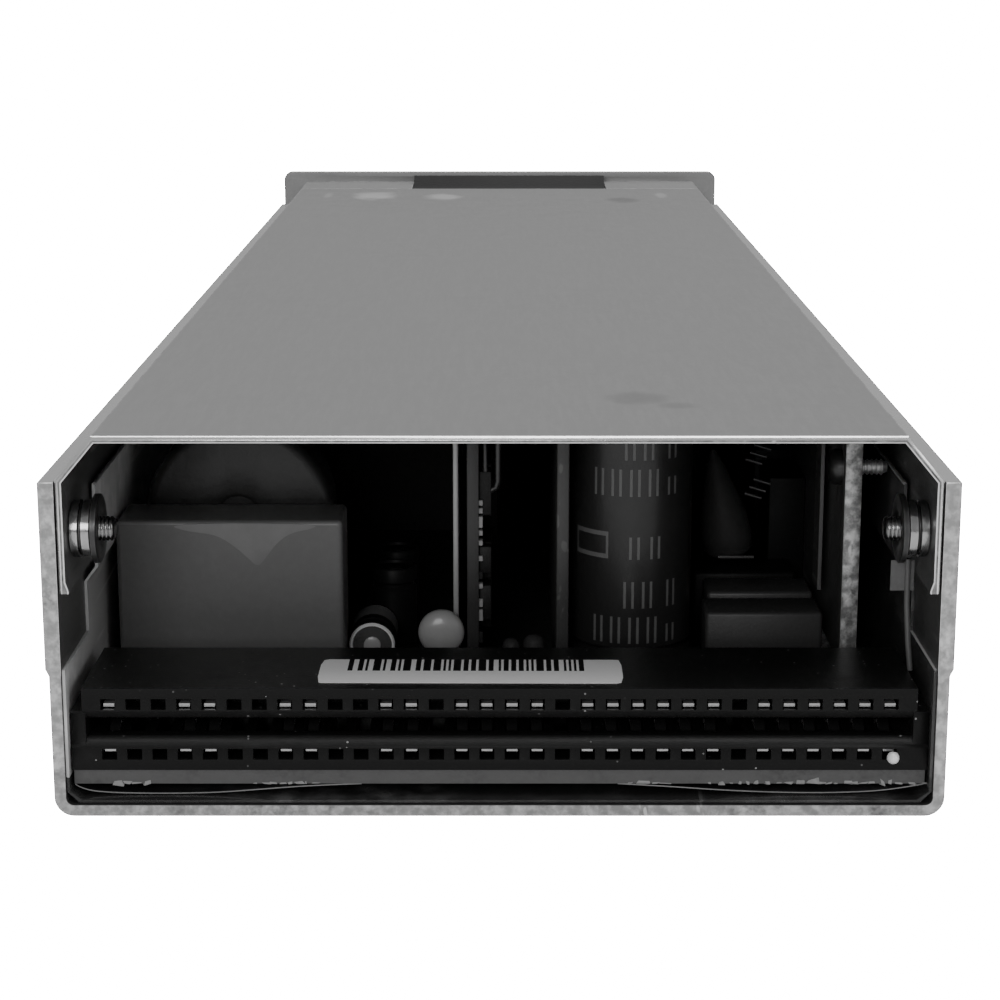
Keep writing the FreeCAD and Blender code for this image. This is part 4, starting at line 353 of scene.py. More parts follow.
@dataclass(frozen=True)
class Finish(Coating):
    """One surface finish, from its base tone to its wear."""

    name: str
    slot: str
    tone: float
    dark: float
    worn: float
    rough: float
    metallic: float = 0.0
    grain_scale: float = 2500.0
    grain_draw: float = 1.0
    grain_depth: float = 0.06
    smudge_scale: float = 22.0
    smudge: float = 0.35
    scratch: float = 0.0
    edge: float = 0.0
    edge_radius: float = 0.00025
    dust: float = 0.0
    dust_tone: float = 0.55
    coat: float = 0.0
    specular: float = 0.5
    fleck: float = 0.22
    fleck_gain: float = 1.25
    fleck_range: tuple[float, float] = (0.35, 0.75)
    smudge_rough: float = 0.1
    scratch_gloss: float = 0.12
    bump_reach: float = 0.2 * MM
    coat_rough: float = 0.12
    spots: tuple[Spot, ...] = ()

    def make(self) -> bpy.types.Material:
        """Build the node tree.

        Returns:
            The new material.
        """
        made, graph = fresh(bpy.data.materials, self.name)
        where = graph.add("TexCoord").outputs["Object"]
        smudge = SMUDGES.place(graph, where, Scale=self.smudge_scale)
        height = GRAIN.place(graph, where, Scale=self.grain_scale, Draw=self.grain_draw)
        colour = graph.blend(graph.times(smudge, self.smudge), grey(self.tone), grey(self.dark))
        flecks = graph.times(graph.ramp(height, *self.fleck_range), self.fleck)
        colour = graph.blend(flecks, colour, grey(min(1.0, self.tone * self.fleck_gain)))
        rough = graph.math("ADD", graph.times(smudge, self.smudge_rough), self.rough)
        if self.scratch:
            lines = graph.times(SCRATCHES.place(graph, where), self.scratch)
            colour = graph.blend(lines, colour, grey(self.worn))
            rough = graph.math("SUBTRACT", rough, graph.times(lines, self.scratch_gloss))
        if self.edge:
            edge = WORN_EDGES.place(graph, where, Radius=self.edge_radius)
            colour = graph.blend(graph.times(edge, self.edge), colour, grey(self.worn))
        if self.dust:
            specks = graph.times(SPECKS.place(graph, where), self.dust)
            colour = graph.blend(specks, colour, grey(self.dust_tone))
        for spot in self.spots:
            mark = SPOT.place(graph, where, X=spot.x * MM, Y=RIM + spot.depth * MM,
                              Width=spot.width * MM, Length=spot.length * MM)
            colour = graph.blend(graph.times(mark, spot.strength), colour, grey(spot.tone))
        bump = graph.add("Bump", {"Strength": self.grain_depth, "Distance": self.bump_reach,
                                  "Height": height})
        graph.show(graph.add("BsdfPrincipled", {
            "Base Color": colour, "Roughness": rough, "Normal": bump.outputs[0],
            "Metallic": self.metallic, "Coat Weight": self.coat, "Coat Roughness": self.coat_rough,
            "Specular IOR Level": self.specular}))
        return made


@dataclass(frozen=True)
class ClearFilm(Coating):
    """A thin clear sheet, glossy and faintly dusty."""

    name: str
    tone: float
    dusty: float
    slot: str = "clear_film"
    dust_scale: float = 60.0
    line_strength: float = 0.8
    least_alpha: float = 0.75
    dust_alpha: float = 0.2
    rough: float = 0.22
    ior: float = 1.58

    def make(self) -> bpy.types.Material:
        """Build a sheet whose dust and creases catch the light.

        Returns:
            The new material.
        """
        made, graph = fresh(bpy.data.materials, self.name)
        where = graph.add("TexCoord").outputs["Object"]
        dust = SMUDGES.place(graph, where, Scale=self.dust_scale)
        lines = graph.times(SCRATCHES.place(graph, where), self.line_strength)
        marks = graph.math("MAXIMUM", dust, lines)
        alpha = graph.math("ADD", graph.times(marks, self.dust_alpha), self.least_alpha)
        graph.show(graph.add("BsdfPrincipled", {
            "Base Color": graph.blend(marks, grey(self.tone), grey(self.dusty)), "Alpha": alpha,
            "Roughness": self.rough, "IOR": self.ior}))
        return made


# Soft oval marks on the cover: darker ones near the open end, lighter ones near the far end.
COVER_SPOTS: tuple[Spot, ...] = (
    Spot(14.4, 19.5, 3.9, 4.4, 0.36), Spot(18.6, 15.5, 2.8, 2.2, 0.3),
    Spot(-24.5, 226.0, 5.2, 9.0, 1.0, 0.42), Spot(-11.0, 224.0, 4.4, 7.0, 0.9, 0.42),
    Spot(-33.5, 227.0, 1.2, 6.0, 0.55, 0.38), Spot(31.5, 227.0, 1.4, 6.0, 0.6, 0.4),
    Spot(23.4, 218.0, 4.0, 6.0, 0.5))


class Look(Enum):
    """Every finish on the supply."""

    ZINC = Finish(
        "zinc_sheet", "zinc_sheet", 0.46, 0.32, 0.85, 0.38, metallic=0.85, grain_draw=14.0,
        grain_depth=0.10, scratch=0.5, edge=0.7)
    COVER = Finish(
        "cover_sheet", "cover_paint", 0.235, 0.20, 0.6, 0.42, metallic=0.25, grain_draw=10.0,
        grain_scale=1800.0, grain_depth=0.04, smudge=0.6, smudge_scale=22.0, scratch=0.015, edge=0.8,
        edge_radius=0.0004, spots=COVER_SPOTS)
    CUT_EDGE = Finish(
        "cut_edge", "zinc_sheet", 0.36, 0.16, 1.0, 0.45, metallic=0.3, grain_scale=800.0, grain_depth=0.5,
        scratch=0.7, smudge=0.9, smudge_scale=260.0, fleck=0.9, fleck_gain=2.2)
    SHEARED = Finish(
        "sheared_edge", "zinc_sheet", 0.20, 0.08, 0.9, 0.5, metallic=0.2, grain_scale=1100.0,
        grain_depth=0.5, scratch=0.5, smudge=0.9, smudge_scale=230.0, fleck=0.8, fleck_gain=2.0)
    # Zinc painted dark as shade on faces inside the case.
    INNER_ZINC = Finish(
        "inner_zinc_painted_shade", "zinc_sheet", 0.135, 0.09, 0.5, 0.42, metallic=0.6, grain_draw=14.0,
        grain_depth=0.1, scratch=0.4)
    # Zinc painted near black as shade on the tray's floor.
    FLOOR_ZINC = Finish("floor_zinc_painted_shade", "zinc_sheet", 0.04, 0.025, 0.3, 0.5, metallic=0.3, scratch=0.5)
    # Burnished edge metal, its white tone partly a painted highlight.
    BURNISHED = Finish(
        "burnished_edge_highlight", "cover_paint", 1.0, 0.6, 1.0, 0.25, metallic=0.9, smudge=0.6,
        smudge_scale=150.0)
    # Bright bar metal painted on rounded corners as a highlight.
    BRIGHT_LINE = Finish(
        "bar_corner_highlight", "bar_zinc", 0.6, 0.2, 1.0, 0.3, metallic=0.4, smudge=0.9, smudge_scale=200.0)
    # Zinc painted darker as shade on the faceplate's faces towards the open end.
    PLATE_INNER = Finish(
        "plate_face_painted_shade", "zinc_sheet", 0.25, 0.2, 0.5, 0.45, metallic=0.3, grain_draw=10.0, edge=0.8)
    STEEL = Finish(
        "bright_steel", "bright_steel", 0.5, 0.3, 0.95, 0.2, metallic=1.0, grain_depth=0.05, scratch=0.3,
        edge=0.8)
    NUT = Finish("nut_steel", "bright_steel", 0.44, 0.18, 0.95, 0.16, metallic=1.0, scratch=0.3, edge=0.8)
    THREAD = Finish("thread_steel", "bright_steel", 0.22, 0.08, 0.9, 0.22, metallic=1.0, edge=0.8)
    # Steel painted dark as shade: nut waists and washers, the bar screw's head and the wire clip.
    OXIDE = Finish("steel_painted_shade", "bright_steel", 0.07, 0.04, 0.3, 0.35, metallic=0.8, edge=0.5)
    COIL = Finish(
        "coil_wire", "toroid_coat", 0.03, 0.004, 0.3, 0.3, coat=0.2, smudge=1.0, smudge_scale=500.0)
    SPRING = Finish("spring_wire", "spring_steel", 0.3, 0.2, 0.6, 0.35, metallic=0.8)
    BUS_BAR = Finish(
        "bus_bar", "bar_zinc", 0.22, 0.04, 0.9, 0.36, metallic=0.4, grain_scale=900.0, grain_depth=0.5,
        smudge=1.0, smudge_scale=300.0, fleck=1.0, fleck_gain=3.2, scratch=0.9)
    ALUMINIUM = Finish(
        "sink_sheet", "sink_aluminium", 0.08, 0.055, 0.3, 0.45, metallic=0.3, grain_draw=8.0, scratch=0.3,
        edge=0.4)
    STRIP = Finish("bright_strip", "sink_aluminium", 0.5, 0.4, 0.7, 0.35, metallic=0.3, scratch=0.3)
    GOLD = Finish("plated_contact", "contact_gold", 0.62, 0.4, 0.95, 0.3, metallic=0.5, smudge=0.3)
    # Contact metal painted dark as the shade inside the socket's slot.
    WORN_GOLD = Finish("contact_painted_shade", "contact_gold", 0.02, 0.012, 0.05, 0.5, smudge=0.5, specular=0.2)
    BRASS = Finish("plated_pin", "brass_pins", 0.72, 0.5, 0.9, 0.22, metallic=1.0, scratch=0.3)
    SOCKET = Finish(
        "socket_moulding", "connector_plastic", 0.011, 0.018, 0.05, 0.34, grain_depth=0.08, smudge=0.6,
        smudge_scale=60.0, edge=0.5, edge_radius=0.00018, dust=0.6, specular=0.3)
    # Socket moulding painted darker on its front faces as shade.
    SOCKET_FACE = Finish(
        "socket_face_painted_shade", "connector_plastic", 0.006, 0.01, 0.05, 0.4, grain_depth=0.08, smudge=0.6,
        smudge_scale=60.0, dust=0.6, specular=0.18)
    LATCH = Finish(
        "latch_moulding", "latch_plastic", 0.014, 0.022, 0.06, 0.5, grain_scale=1500.0, grain_depth=0.35,
        edge=0.4, specular=0.3)
    FAN = Finish(
        "fan_moulding", "fan_plastic", 0.014, 0.022, 0.05, 0.46, grain_depth=0.12, edge=0.3, specular=0.3)
    INLET = Finish(
        "inlet_moulding", "inlet_plastic", 0.012, 0.018, 0.05, 0.38, grain_depth=0.1, edge=0.4,
        specular=0.3)
    LENS = Finish("lamp_lens", "light_lens", 0.6, 0.5, 0.7, 0.12, coat=0.5, grain_depth=0.0, smudge=0.1)
    BOARD = Finish(
        "board_laminate", "circuit_board", 0.035, 0.025, 0.2, 0.40, grain_scale=900.0, grain_depth=0.15,
        smudge=0.5, smudge_scale=90.0)
    BOARD_EDGE = Finish(
        "board_edge", "circuit_board", 0.105, 0.06, 0.4, 0.6, grain_scale=1100.0, grain_depth=0.4,
        smudge=0.8, smudge_scale=220.0)
    CHIPPED = Finish(
        "chipped_laminate", "circuit_board", 0.34, 0.2, 0.6, 0.7, grain_scale=1500.0, grain_depth=0.5,
        smudge=0.8, smudge_scale=400.0)
    POTTING = Finish(
        "potted_case", "potting_grey", 0.125, 0.105, 0.24, 0.42, grain_scale=1200.0, grain_depth=0.06,
        smudge=0.5, smudge_scale=40.0, edge=0.25)
    # Set glue, also painted on the potted choke's sloped top edge as a highlight.
    GLUE = Finish(
        "set_glue_and_highlight", "potting_grey", 0.17, 0.145, 0.26, 0.35, coat=0.2, grain_scale=500.0, grain_depth=0.2,
        smudge=0.6, smudge_scale=70.0)
    EYE_FILL = Finish("choke_eye_fill", "toroid_coat", 0.024, 0.018, 0.05, 0.5, specular=0.2)
    TOROID = Finish(
        "choke_coating", "toroid_coat", 0.022, 0.016, 0.055, 0.42, grain_scale=700.0, grain_depth=0.25,
        coat=0.1)
    SLEEVE = Finish(
        "can_sleeve", "capacitor_sleeve", 0.022, 0.028, 0.08, 0.32, grain_scale=500.0, grain_depth=0.05,
        coat=0.1, smudge=0.3)
    SLEEVE_MARK = Finish(
        "can_mark", "capacitor_sleeve", 0.15, 0.12, 0.3, 0.36, smudge=0.6, smudge_scale=130.0)
    CAN_TOP = Finish("can_top", "capacitor_sleeve", 0.5, 0.35, 0.85, 0.3, metallic=0.9, scratch=0.3)
    # Near white rim paint that stands in for a highlight.
    CAN_RIM = Finish("can_rim", "capacitor_sleeve", 1.0, 0.8, 1.0, 0.25, metallic=0.1, specular=0.8)
    CAN_WELL = Finish(
        "can_well", "capacitor_sleeve", 0.12, 0.05, 0.3, 0.35, metallic=0.5, smudge=0.8,
        smudge_scale=400.0)
    CAN_BODY = Finish("lying_can_body", "capacitor_sleeve", 0.16, 0.13, 0.2, 0.4, specular=0.3)
    SHADED = Finish("shaded_part", "capacitor_sleeve", 0.008, 0.005, 0.02, 0.45, specular=0.15)
    DARK_SLEEVE = Finish(
        "dark_sleeve", "capacitor_sleeve", 0.05, 0.03, 0.1, 0.55, specular=0.2, smudge=0.6,
        smudge_scale=120.0)
    # The bead's dipped coat, also painted on a small can's boss as a reflection.
    DIPPED = Finish(
        "dipped_bead", "dipped_coat", 0.36, 0.3, 0.5, 0.3, coat=0.4, grain_scale=600.0, grain_depth=0.12,
        smudge=0.4, smudge_scale=150.0)
    PACKAGE = Finish(
        "moulded_package", "package_black", 0.011, 0.018, 0.05, 0.5, grain_depth=0.3, edge=0.4,
        specular=0.3)
    FILM_BOX = Finish(
        "film_capacitor_box", "film_box", 0.045, 0.035, 0.12, 0.42, grain_depth=0.12, smudge=0.5,
        smudge_scale=80.0, edge=0.5)
    FERRITE = Finish(
        "ferrite_core", "ferrite", 0.05, 0.035, 0.12, 0.55, grain_scale=900.0, grain_depth=0.4, edge=0.4)
    TAPE = Finish("winding_wrap", "winding_tape", 0.3, 0.22, 0.4, 0.4, smudge=0.4, coat=0.2)
    CERAMIC = Finish("fuse_tube", "fuse_ceramic", 0.62, 0.5, 0.75, 0.25, coat=0.4)
    STICKER = Finish(
        "plain_sticker", "connector_plastic", 1.0, 0.85, 1.0, 0.5, grain_depth=0.05, smudge=0.3,
        smudge_scale=120.0)
    INK = Finish("sticker_ink", "connector_plastic", 0.008, 0.012, 0.05, 0.5, smudge=0.2, specular=0.2)
    SOLDER = Finish(
        "solder", "bright_steel", 1.0, 0.9, 1.0, 0.3, metallic=0.1, grain_scale=800.0, grain_depth=0.2)
    FILM_TAB = Finish("film_tab", "clear_film", 0.12, 0.06, 0.3, 0.4, smudge=0.6, smudge_scale=120.0)
    # Pale film tone painted on cut edges as a highlight.
    FILM_EDGE = Finish(
        "film_edge_highlight", "clear_film", 0.34, 0.24, 0.5, 0.3, grain_depth=0.05, smudge=0.5, smudge_scale=120.0)
    CLEAR_FILM = ClearFilm("clear_film_sheet", 0.8, 1.0)
    SHADED_FILM = ClearFilm("shaded_film_sheet", 0.1, 0.22)
    # Clear film painted near black as shade on the floor.
    FLOOR_FILM = ClearFilm("floor_film_painted_shade", 0.035, 0.12)


# ---------------------------------------------------------------- modelling tools


def clear_selection() -> None:
    """Leave object mode with nothing selected."""
    if bpy.context.object and bpy.context.object.mode != "OBJECT":
        bpy.ops.object.mode_set(mode="OBJECT")
    bpy.ops.object.select_all(action="DESELECT")


def focus(piece: Piece) -> None:
    """Select one object alone and make it active.

    Args:
        piece: The object.
    """
    clear_selection()
    piece.select_set(True)
    bpy.context.view_layer.objects.active = piece


@contextmanager
def editing(piece: Piece, everything: bool = True) -> Iterator[None]:
    """Keep one piece in edit mode while a block runs.

    Args:
        piece: The piece to edit.
        everything: Whether all of it is selected first.

    Yields:
        Nothing; the block runs in edit mode.
    """
    focus(piece)
    bpy.ops.object.mode_set(mode="EDIT")
    if everything:
        bpy.ops.mesh.select_all(action="SELECT")
    yield
    bpy.ops.object.mode_set(mode="OBJECT")


def settle(piece: Piece, name: str) -> Piece:
    """Name a piece and move its place, turn and size into its mesh.

    Args:
        piece: The piece as it was placed.
        name: Its name and its mesh's.

    Returns:
        The same piece.
    """
    piece.name = name
    piece.data.name = name
    focus(piece)
    bpy.ops.object.transform_apply(location=True, rotation=True, scale=True)
    return piece


def apply_modifier(piece: Piece, kind: str, **settings: object) -> None:
    """Add a modifier and apply it at once.

    Args:
        piece: The piece to change.
        kind: The modifier's type.
        **settings: Its properties.
    """
    focus(piece)
    modifier = piece.modifiers.new(kind.lower(), kind)
    for name, value in settings.items():
        setattr(modifier, name, value)
    bpy.ops.object.modifier_apply(modifier=modifier.name)


def smooth(piece: Piece, angle: float = 35.0) -> None:
    """Shade a piece smooth where its faces meet at less than an angle in degrees."""
    focus(piece)
    bpy.ops.object.shade_smooth_by_angle(angle=math.radians(angle))


def soften(piece: Piece, width: float, segments: int = 2) -> None:
    """Round a piece's sharp edges.

    Args:
        piece: The piece.
        width: How far from an edge the rounding starts.
        segments: Steps across the rounding.
    """
    apply_modifier(piece, "BEVEL", width=width, segments=segments, limit_method="ANGLE",
                   angle_limit=math.radians(40), harden_normals=False, use_clamp_overlap=True)
    smooth(piece)


def paint(piece: Piece, look: Look) -> None:
    """Give a whole piece one finish."""
    piece.data.materials.clear()
    piece.data.materials.append(look.value.material())


def paint_faces(piece: Piece, look: Look, test: Callable[[Face], bool]) -> None:
    """Give the faces that pass a test one more finish.

    Args:
        piece: The piece, which already has its main finish.
        look: The finish for the chosen faces.
        test: Tells from a face whether it is chosen.
    """
    number = len(piece.data.materials)
    piece.data.materials.append(look.value.material())
    for face in piece.data.polygons:
        if test(face):
            face.material_index = number


def dress(piece: Piece, look: Look, body: str = CASE, node: str = "") -> Piece:
    """Finish off a new piece: paint it where it isn't yet, hide the node it stands in for and put it on its
    body.

    Args:
        piece: The piece.
        look: Its main finish.
        body: The body that it rides on, or nothing to leave it unattached.
        node: The CAD node that it replaces, if any.

    Returns:
        The same piece.
    """
    if not piece.data.materials:
        paint(piece, look)
    if node:
        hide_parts(node)
    if body:
        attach(piece, body)
    log.info("%s: %d faces on %s", piece.name, len(piece.data.polygons), body or "two bodies")
    return piece


def block(name: str, low: Vector, high: Vector) -> Piece:
    """A box between two corners.

    Args:
        name: The box's name.
        low: Its lowest corner.
        high: Its highest corner.

    Returns:
        The box.
    """
    clear_selection()
    bpy.ops.mesh.primitive_cube_add(size=1.0, location=(low + high) / 2)
    bpy.context.object.scale = high - low
    return settle(bpy.context.object, name)


def turned(name: str, foot: Vector, axis: Vector, rings: Rings, steps: int = 48) -> Piece:
    """A round piece, extruded and resized ring by ring.

    Args:
        name: The piece's name.
        foot: The point that distances are measured from.
        axis: Unit direction in which the rings follow each other.
        rings: Radius of each ring and its distance from the foot, in metres.
        steps: Sides of each ring.

    Returns:
        The closed piece.
    """
    clear_selection()
    turn = axis.to_track_quat("Z", "Y").to_euler()
    radius, along = rings[0]
    bpy.ops.mesh.primitive_circle_add(vertices=steps, radius=radius, fill_type="NGON",
                                      location=foot + axis * along, rotation=turn)
    piece = bpy.context.object
    with editing(piece):
        for next_radius, next_along in rings[1:]:
            step = turn.to_matrix() @ Vector((0, 0, next_along - along))
            bpy.ops.mesh.extrude_region_move(TRANSFORM_OT_translate={"value": step})
            bpy.ops.transform.resize(value=(next_radius / radius,) * 3,
                                     center_override=foot + axis * next_along)
            radius, along = next_radius, next_along
    settle(piece, name)
    with editing(piece):
        bpy.ops.mesh.remove_doubles(threshold=MERGE)
        bpy.ops.mesh.normals_make_consistent(inside=False)
    return piece


def join(pieces: Iterable[Piece], name: str) -> Piece:
    """Make several pieces one object.

    Args:
        pieces: The pieces, of which the first is kept.
        name: The name of what they become.

    Returns:
        The one object.
    """
    first, *others = pieces
    focus(first)
    for piece in others:
        piece.select_set(True)
    bpy.ops.object.join()
    return settle(bpy.context.object, name)


def copy_of(piece: Piece, name: str, shift: Vector) -> Piece:
    """A copy with its own mesh.

    Args:
        piece: What is copied.
        name: The copy's name.
        shift: How far the copy is moved.

    Returns:
        The copy.
    """
    focus(piece)
    bpy.ops.object.duplicate()
    bpy.context.object.location = shift
    return settle(bpy.context.object, name)


def skin(node: str, look: Look, width: float = 0.0, segments: int = 2, body: str = CASE) -> Piece:
    """Stand a softened copy in for a CAD node.

    Args:
        node: The CAD node's name.
        look: Its main finish.
        width: Radius of its softened edges in metres, or 0 for none.
        segments: Steps across a softened edge.
        body: The body that it rides on, or nothing to leave it unattached.

    Returns:
        The copy, which replaces the node.
    """
    focus(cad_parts[node])
    bpy.ops.object.duplicate()
    piece = bpy.context.object
    for key in list(piece.keys()):
        del piece[key]
    piece.parent = None
    piece.name = node + "_skin"
    piece.data.materials.clear()
    with editing(piece):
        bpy.ops.mesh.remove_doubles(threshold=MERGE)
        bpy.ops.mesh.dissolve_limited(angle_limit=math.radians(0.6))
    if width:
        soften(piece, width, segments)
    smooth(piece)
    return dress(piece, look, body, node)


def skins(*rows: tuple[str, Look] | tuple[str, Look, float] | tuple[str, Look, float, int]) -> None:
    """Stand copies in for several nodes of the case, a row for each with what skin takes."""
    for row in rows:
        skin(*row)


def curve_piece(name: str, kind: str, points: Sequence[Sequence[float]], curve_settings: dict[str, object],
                spline_settings: dict[str, object]) -> Piece:
    """Draw a curve and make it a mesh.

    Args:
        name: The curve's name.
        kind: The spline's type.
        points: Points in metres that the spline is drawn with.
        curve_settings: Properties of the curve, such as its bevel.
        spline_settings: Properties of the spline, such as its order.

    Returns:
        The mesh, not yet settled.
    """
    curve = bpy.data.curves.new(name, "CURVE")
    for setting, value in curve_settings.items():
        setattr(curve, setting, value)
    spline = curve.splines.new(kind)
    spline.points.add(len(points) - 1)
    for spot, point in zip(spline.points, points):
        spot.co = (*point, 1.0)
    for setting, value in spline_settings.items():
        setattr(spline, setting, value)
    piece = bpy.data.objects.new(name, curve)
    bpy.context.scene.collection.objects.link(piece)
    focus(piece)
    bpy.ops.object.convert(target="MESH")
    return bpy.context.object


def wire(name: str, points: Sequence[Vector], radius: float) -> Piece:
    """A stiff bent wire.

    Args:
        name: The wire's name.
        points: The points that its middle passes.
        radius: Half its thickness.

    Returns:
        The wire.
    """
    shape = {"dimensions": "3D", "bevel_depth": radius, "bevel_resolution": 3, "use_fill_caps": True}
    piece = settle(curve_piece(name, "POLY", points, shape, {}), name)
    smooth(piece, angle=60)
    return piece


def upright(name: str, line: Pairs, depth: float, thickness: float, closed: bool) -> Piece:
    """A smooth line across and up, drawn out along the supply.

    Args:
        name: The piece's name.
        line: Points across and up in millimetres.
        depth: Where the middle of the drawn out line stands along the supply.
        thickness: How far it is drawn out.
        closed: Whether the line closes round a filled patch.

    Returns:
        The patch, or the open sheet, which has no thickness of its own yet.
    """
    shape = {"dimensions": "2D", "extrude": thickness / 2}
    if closed:
        shape["fill_mode"] = "BOTH"
        bends = {"use_cyclic_u": True, "order_u": 3, "resolution_u": 6}
    else:
        bends = {"order_u": 3, "use_endpoint_u": True, "resolution_u": 8}
    points = [(x * MM, height * MM, 0.0) for x, height in line]
    piece = curve_piece(name, "NURBS", points, shape, bends)
    piece.rotation_euler.x = math.radians(90)
    piece.location.y = depth
    return settle(piece, name)


# ---------------------------------------------------------------- sub-assemblies


@dataclass
class SheetCase:
    """The tray, the cover and the faceplate with their cut edges."""

    edge_radius: float = 0.1 * MM
    tray_radius: float = 0.16 * MM
    wall_band: tuple[float, float] = (0.5 * MM, 1.5 * MM)
    wall_fill: float = 0.38 * MM
    joggle_top: float = 15.3 * MM
    burnish_width: float = 0.36 * MM
    inner_width: float = 0.14 * MM
    low_height: float = 10.0 * MM
    middle_height: float = 20.0 * MM
    floor_height: float = 3.0 * MM

    def build(self) -> None:
        """Stand softened copies in for the sheets, paint their cut edges bright as burnish and painted
        highlight, and their insides dark as shade.
        """
        self.tray()
        self.cover()
        self.plate()
        skin("fan_bulkhead", Look.ZINC, self.edge_radius)

    def tray(self) -> None:
        """The tray, whose upper walls are brought up to the cover's skirts."""
        tray = skin("chassis_tray", Look.ZINC)
        upper = [spot for spot in tray.data.vertices if spot.co.z > self.joggle_top]
        outer = max(abs(spot.co.x) for spot in upper)
        least, most = self.wall_band
        for spot in upper:
            if outer - most < abs(spot.co.x) < outer - least:
                spot.co.x -= math.copysign(self.wall_fill, spot.co.x)
        soften(tray, self.tray_radius)

        def is_floor(face: Face) -> bool:
            """Whether a face belongs to the tray's floor."""
            return face.center.z < self.floor_height

        def is_bevel(face: Face) -> bool:
            """Whether a face is part of the softened front edge."""
            return -0.98 < face.normal.y < -0.1

        # Painted shade: inward faces and the floor are darker zinc.
        paint_faces(tray, Look.INNER_ZINC, lambda face: face.normal.x * face.center.x < 0)
        paint_faces(tray, Look.FLOOR_ZINC, lambda face: face.normal.z > 0.5 and is_floor(face))
        paint_faces(tray, Look.CUT_EDGE, lambda face: abs(face.normal.y) > 0.9)
        # Painted highlight: upward faces high on the walls and the upper front bevel are burnished white.
        paint_faces(tray, Look.BURNISHED,
                    lambda face: face.normal.z > 0.9 and face.center.z > self.middle_height)
        paint_faces(tray, Look.BURNISHED, lambda face: is_bevel(face) and face.center.z > self.low_height)
        # Painted shade on the floor's front bevel.
        paint_faces(tray, Look.FLOOR_ZINC,
                    lambda face: is_bevel(face) and face.normal.z > 0.1 and is_floor(face))

    def outward(self, place: Vector) -> Vector:
        """The direction from the case's middle line to a place, across and up."""
        return Vector((place.x, 0, place.z - self.middle_height))

    def burnish(self, cover: Piece, side: int, width: float) -> None:
        """Roll over one corner of the cover's front edge.

        Args:
            cover: The cover's copy.
            side: 1 for the outer corner and -1 for the inner one.
            width: How much of the corner is rolled over.
        """
        front = min(spot.co.y for spot in cover.data.vertices)
        normals: dict[tuple[int, int], list[Vector]] = {}
        for face in cover.data.polygons:
            for key in face.edge_keys:
                normals.setdefault(key, []).append(face.normal.copy())
        with editing(cover, everything=False):
            bpy.ops.mesh.select_mode(type="EDGE")
            bpy.ops.mesh.select_all(action="DESELECT")
        for edge in cover.data.edges:
            ends = [cover.data.vertices[number].co for number in edge.vertices]
            if max(end.y for end in ends) > front + self.edge_radius:
                continue
            outward = self.outward((ends[0] + ends[1]) / 2).normalized()
            sides = normals.get(tuple(sorted(edge.vertices)), [])
            faces_front = any(normal.y < -0.9 for normal in sides)
            faces_out = any(abs(normal.y) < 0.1 and normal.dot(outward) * side > 0.5 for normal in sides)
            edge.select = faces_front and faces_out
        with editing(cover, everything=False):
            bpy.ops.mesh.bevel(offset=width, segments=2, affect="EDGES")

    def cover(self) -> None:
        """The cover, with a burnished front edge painted white as a highlight, and bare zinc inside painted
        dark as shade.
        """
        cover = skin("top_cover", Look.COVER)
        self.burnish(cover, 1, self.burnish_width)
        self.burnish(cover, -1, self.inner_width)
        front = min(spot.co.y for spot in cover.data.vertices) + self.burnish_width * 1.05
        smooth(cover)
        # Painted shade on the inner faces, painted highlight on the front bevel.
        paint_faces(cover, Look.INNER_ZINC, lambda face: abs(face.normal.y) < 0.5
                    and face.normal.dot(self.outward(face.center)) < 0)
        paint_faces(cover, Look.BURNISHED,
                    lambda face: face.center.y < front and -0.95 < face.normal.y < -0.1)
        paint_faces(cover, Look.SHEARED, lambda face: abs(face.normal.y) > 0.95)

    def plate(self) -> None:
        """The faceplate, with painted upper faces, a burnished top edge painted white as a highlight, and
        faces towards the open end painted dark as shade.
        """
        plate = skin("faceplate", Look.ZINC, self.edge_radius)
        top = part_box("faceplate")[1].z - self.edge_radius * 2
        # Painted shade on faces towards the open end, painted highlight along the top edge.
        paint_faces(plate, Look.PLATE_INNER, lambda face: face.normal.y < -0.5)
        paint_faces(plate, Look.COVER, lambda face: face.normal.z > 0.3 and face.center.z < top)
        paint_faces(plate, Look.BURNISHED, lambda face: face.normal.z > 0.3 and face.center.z > top)


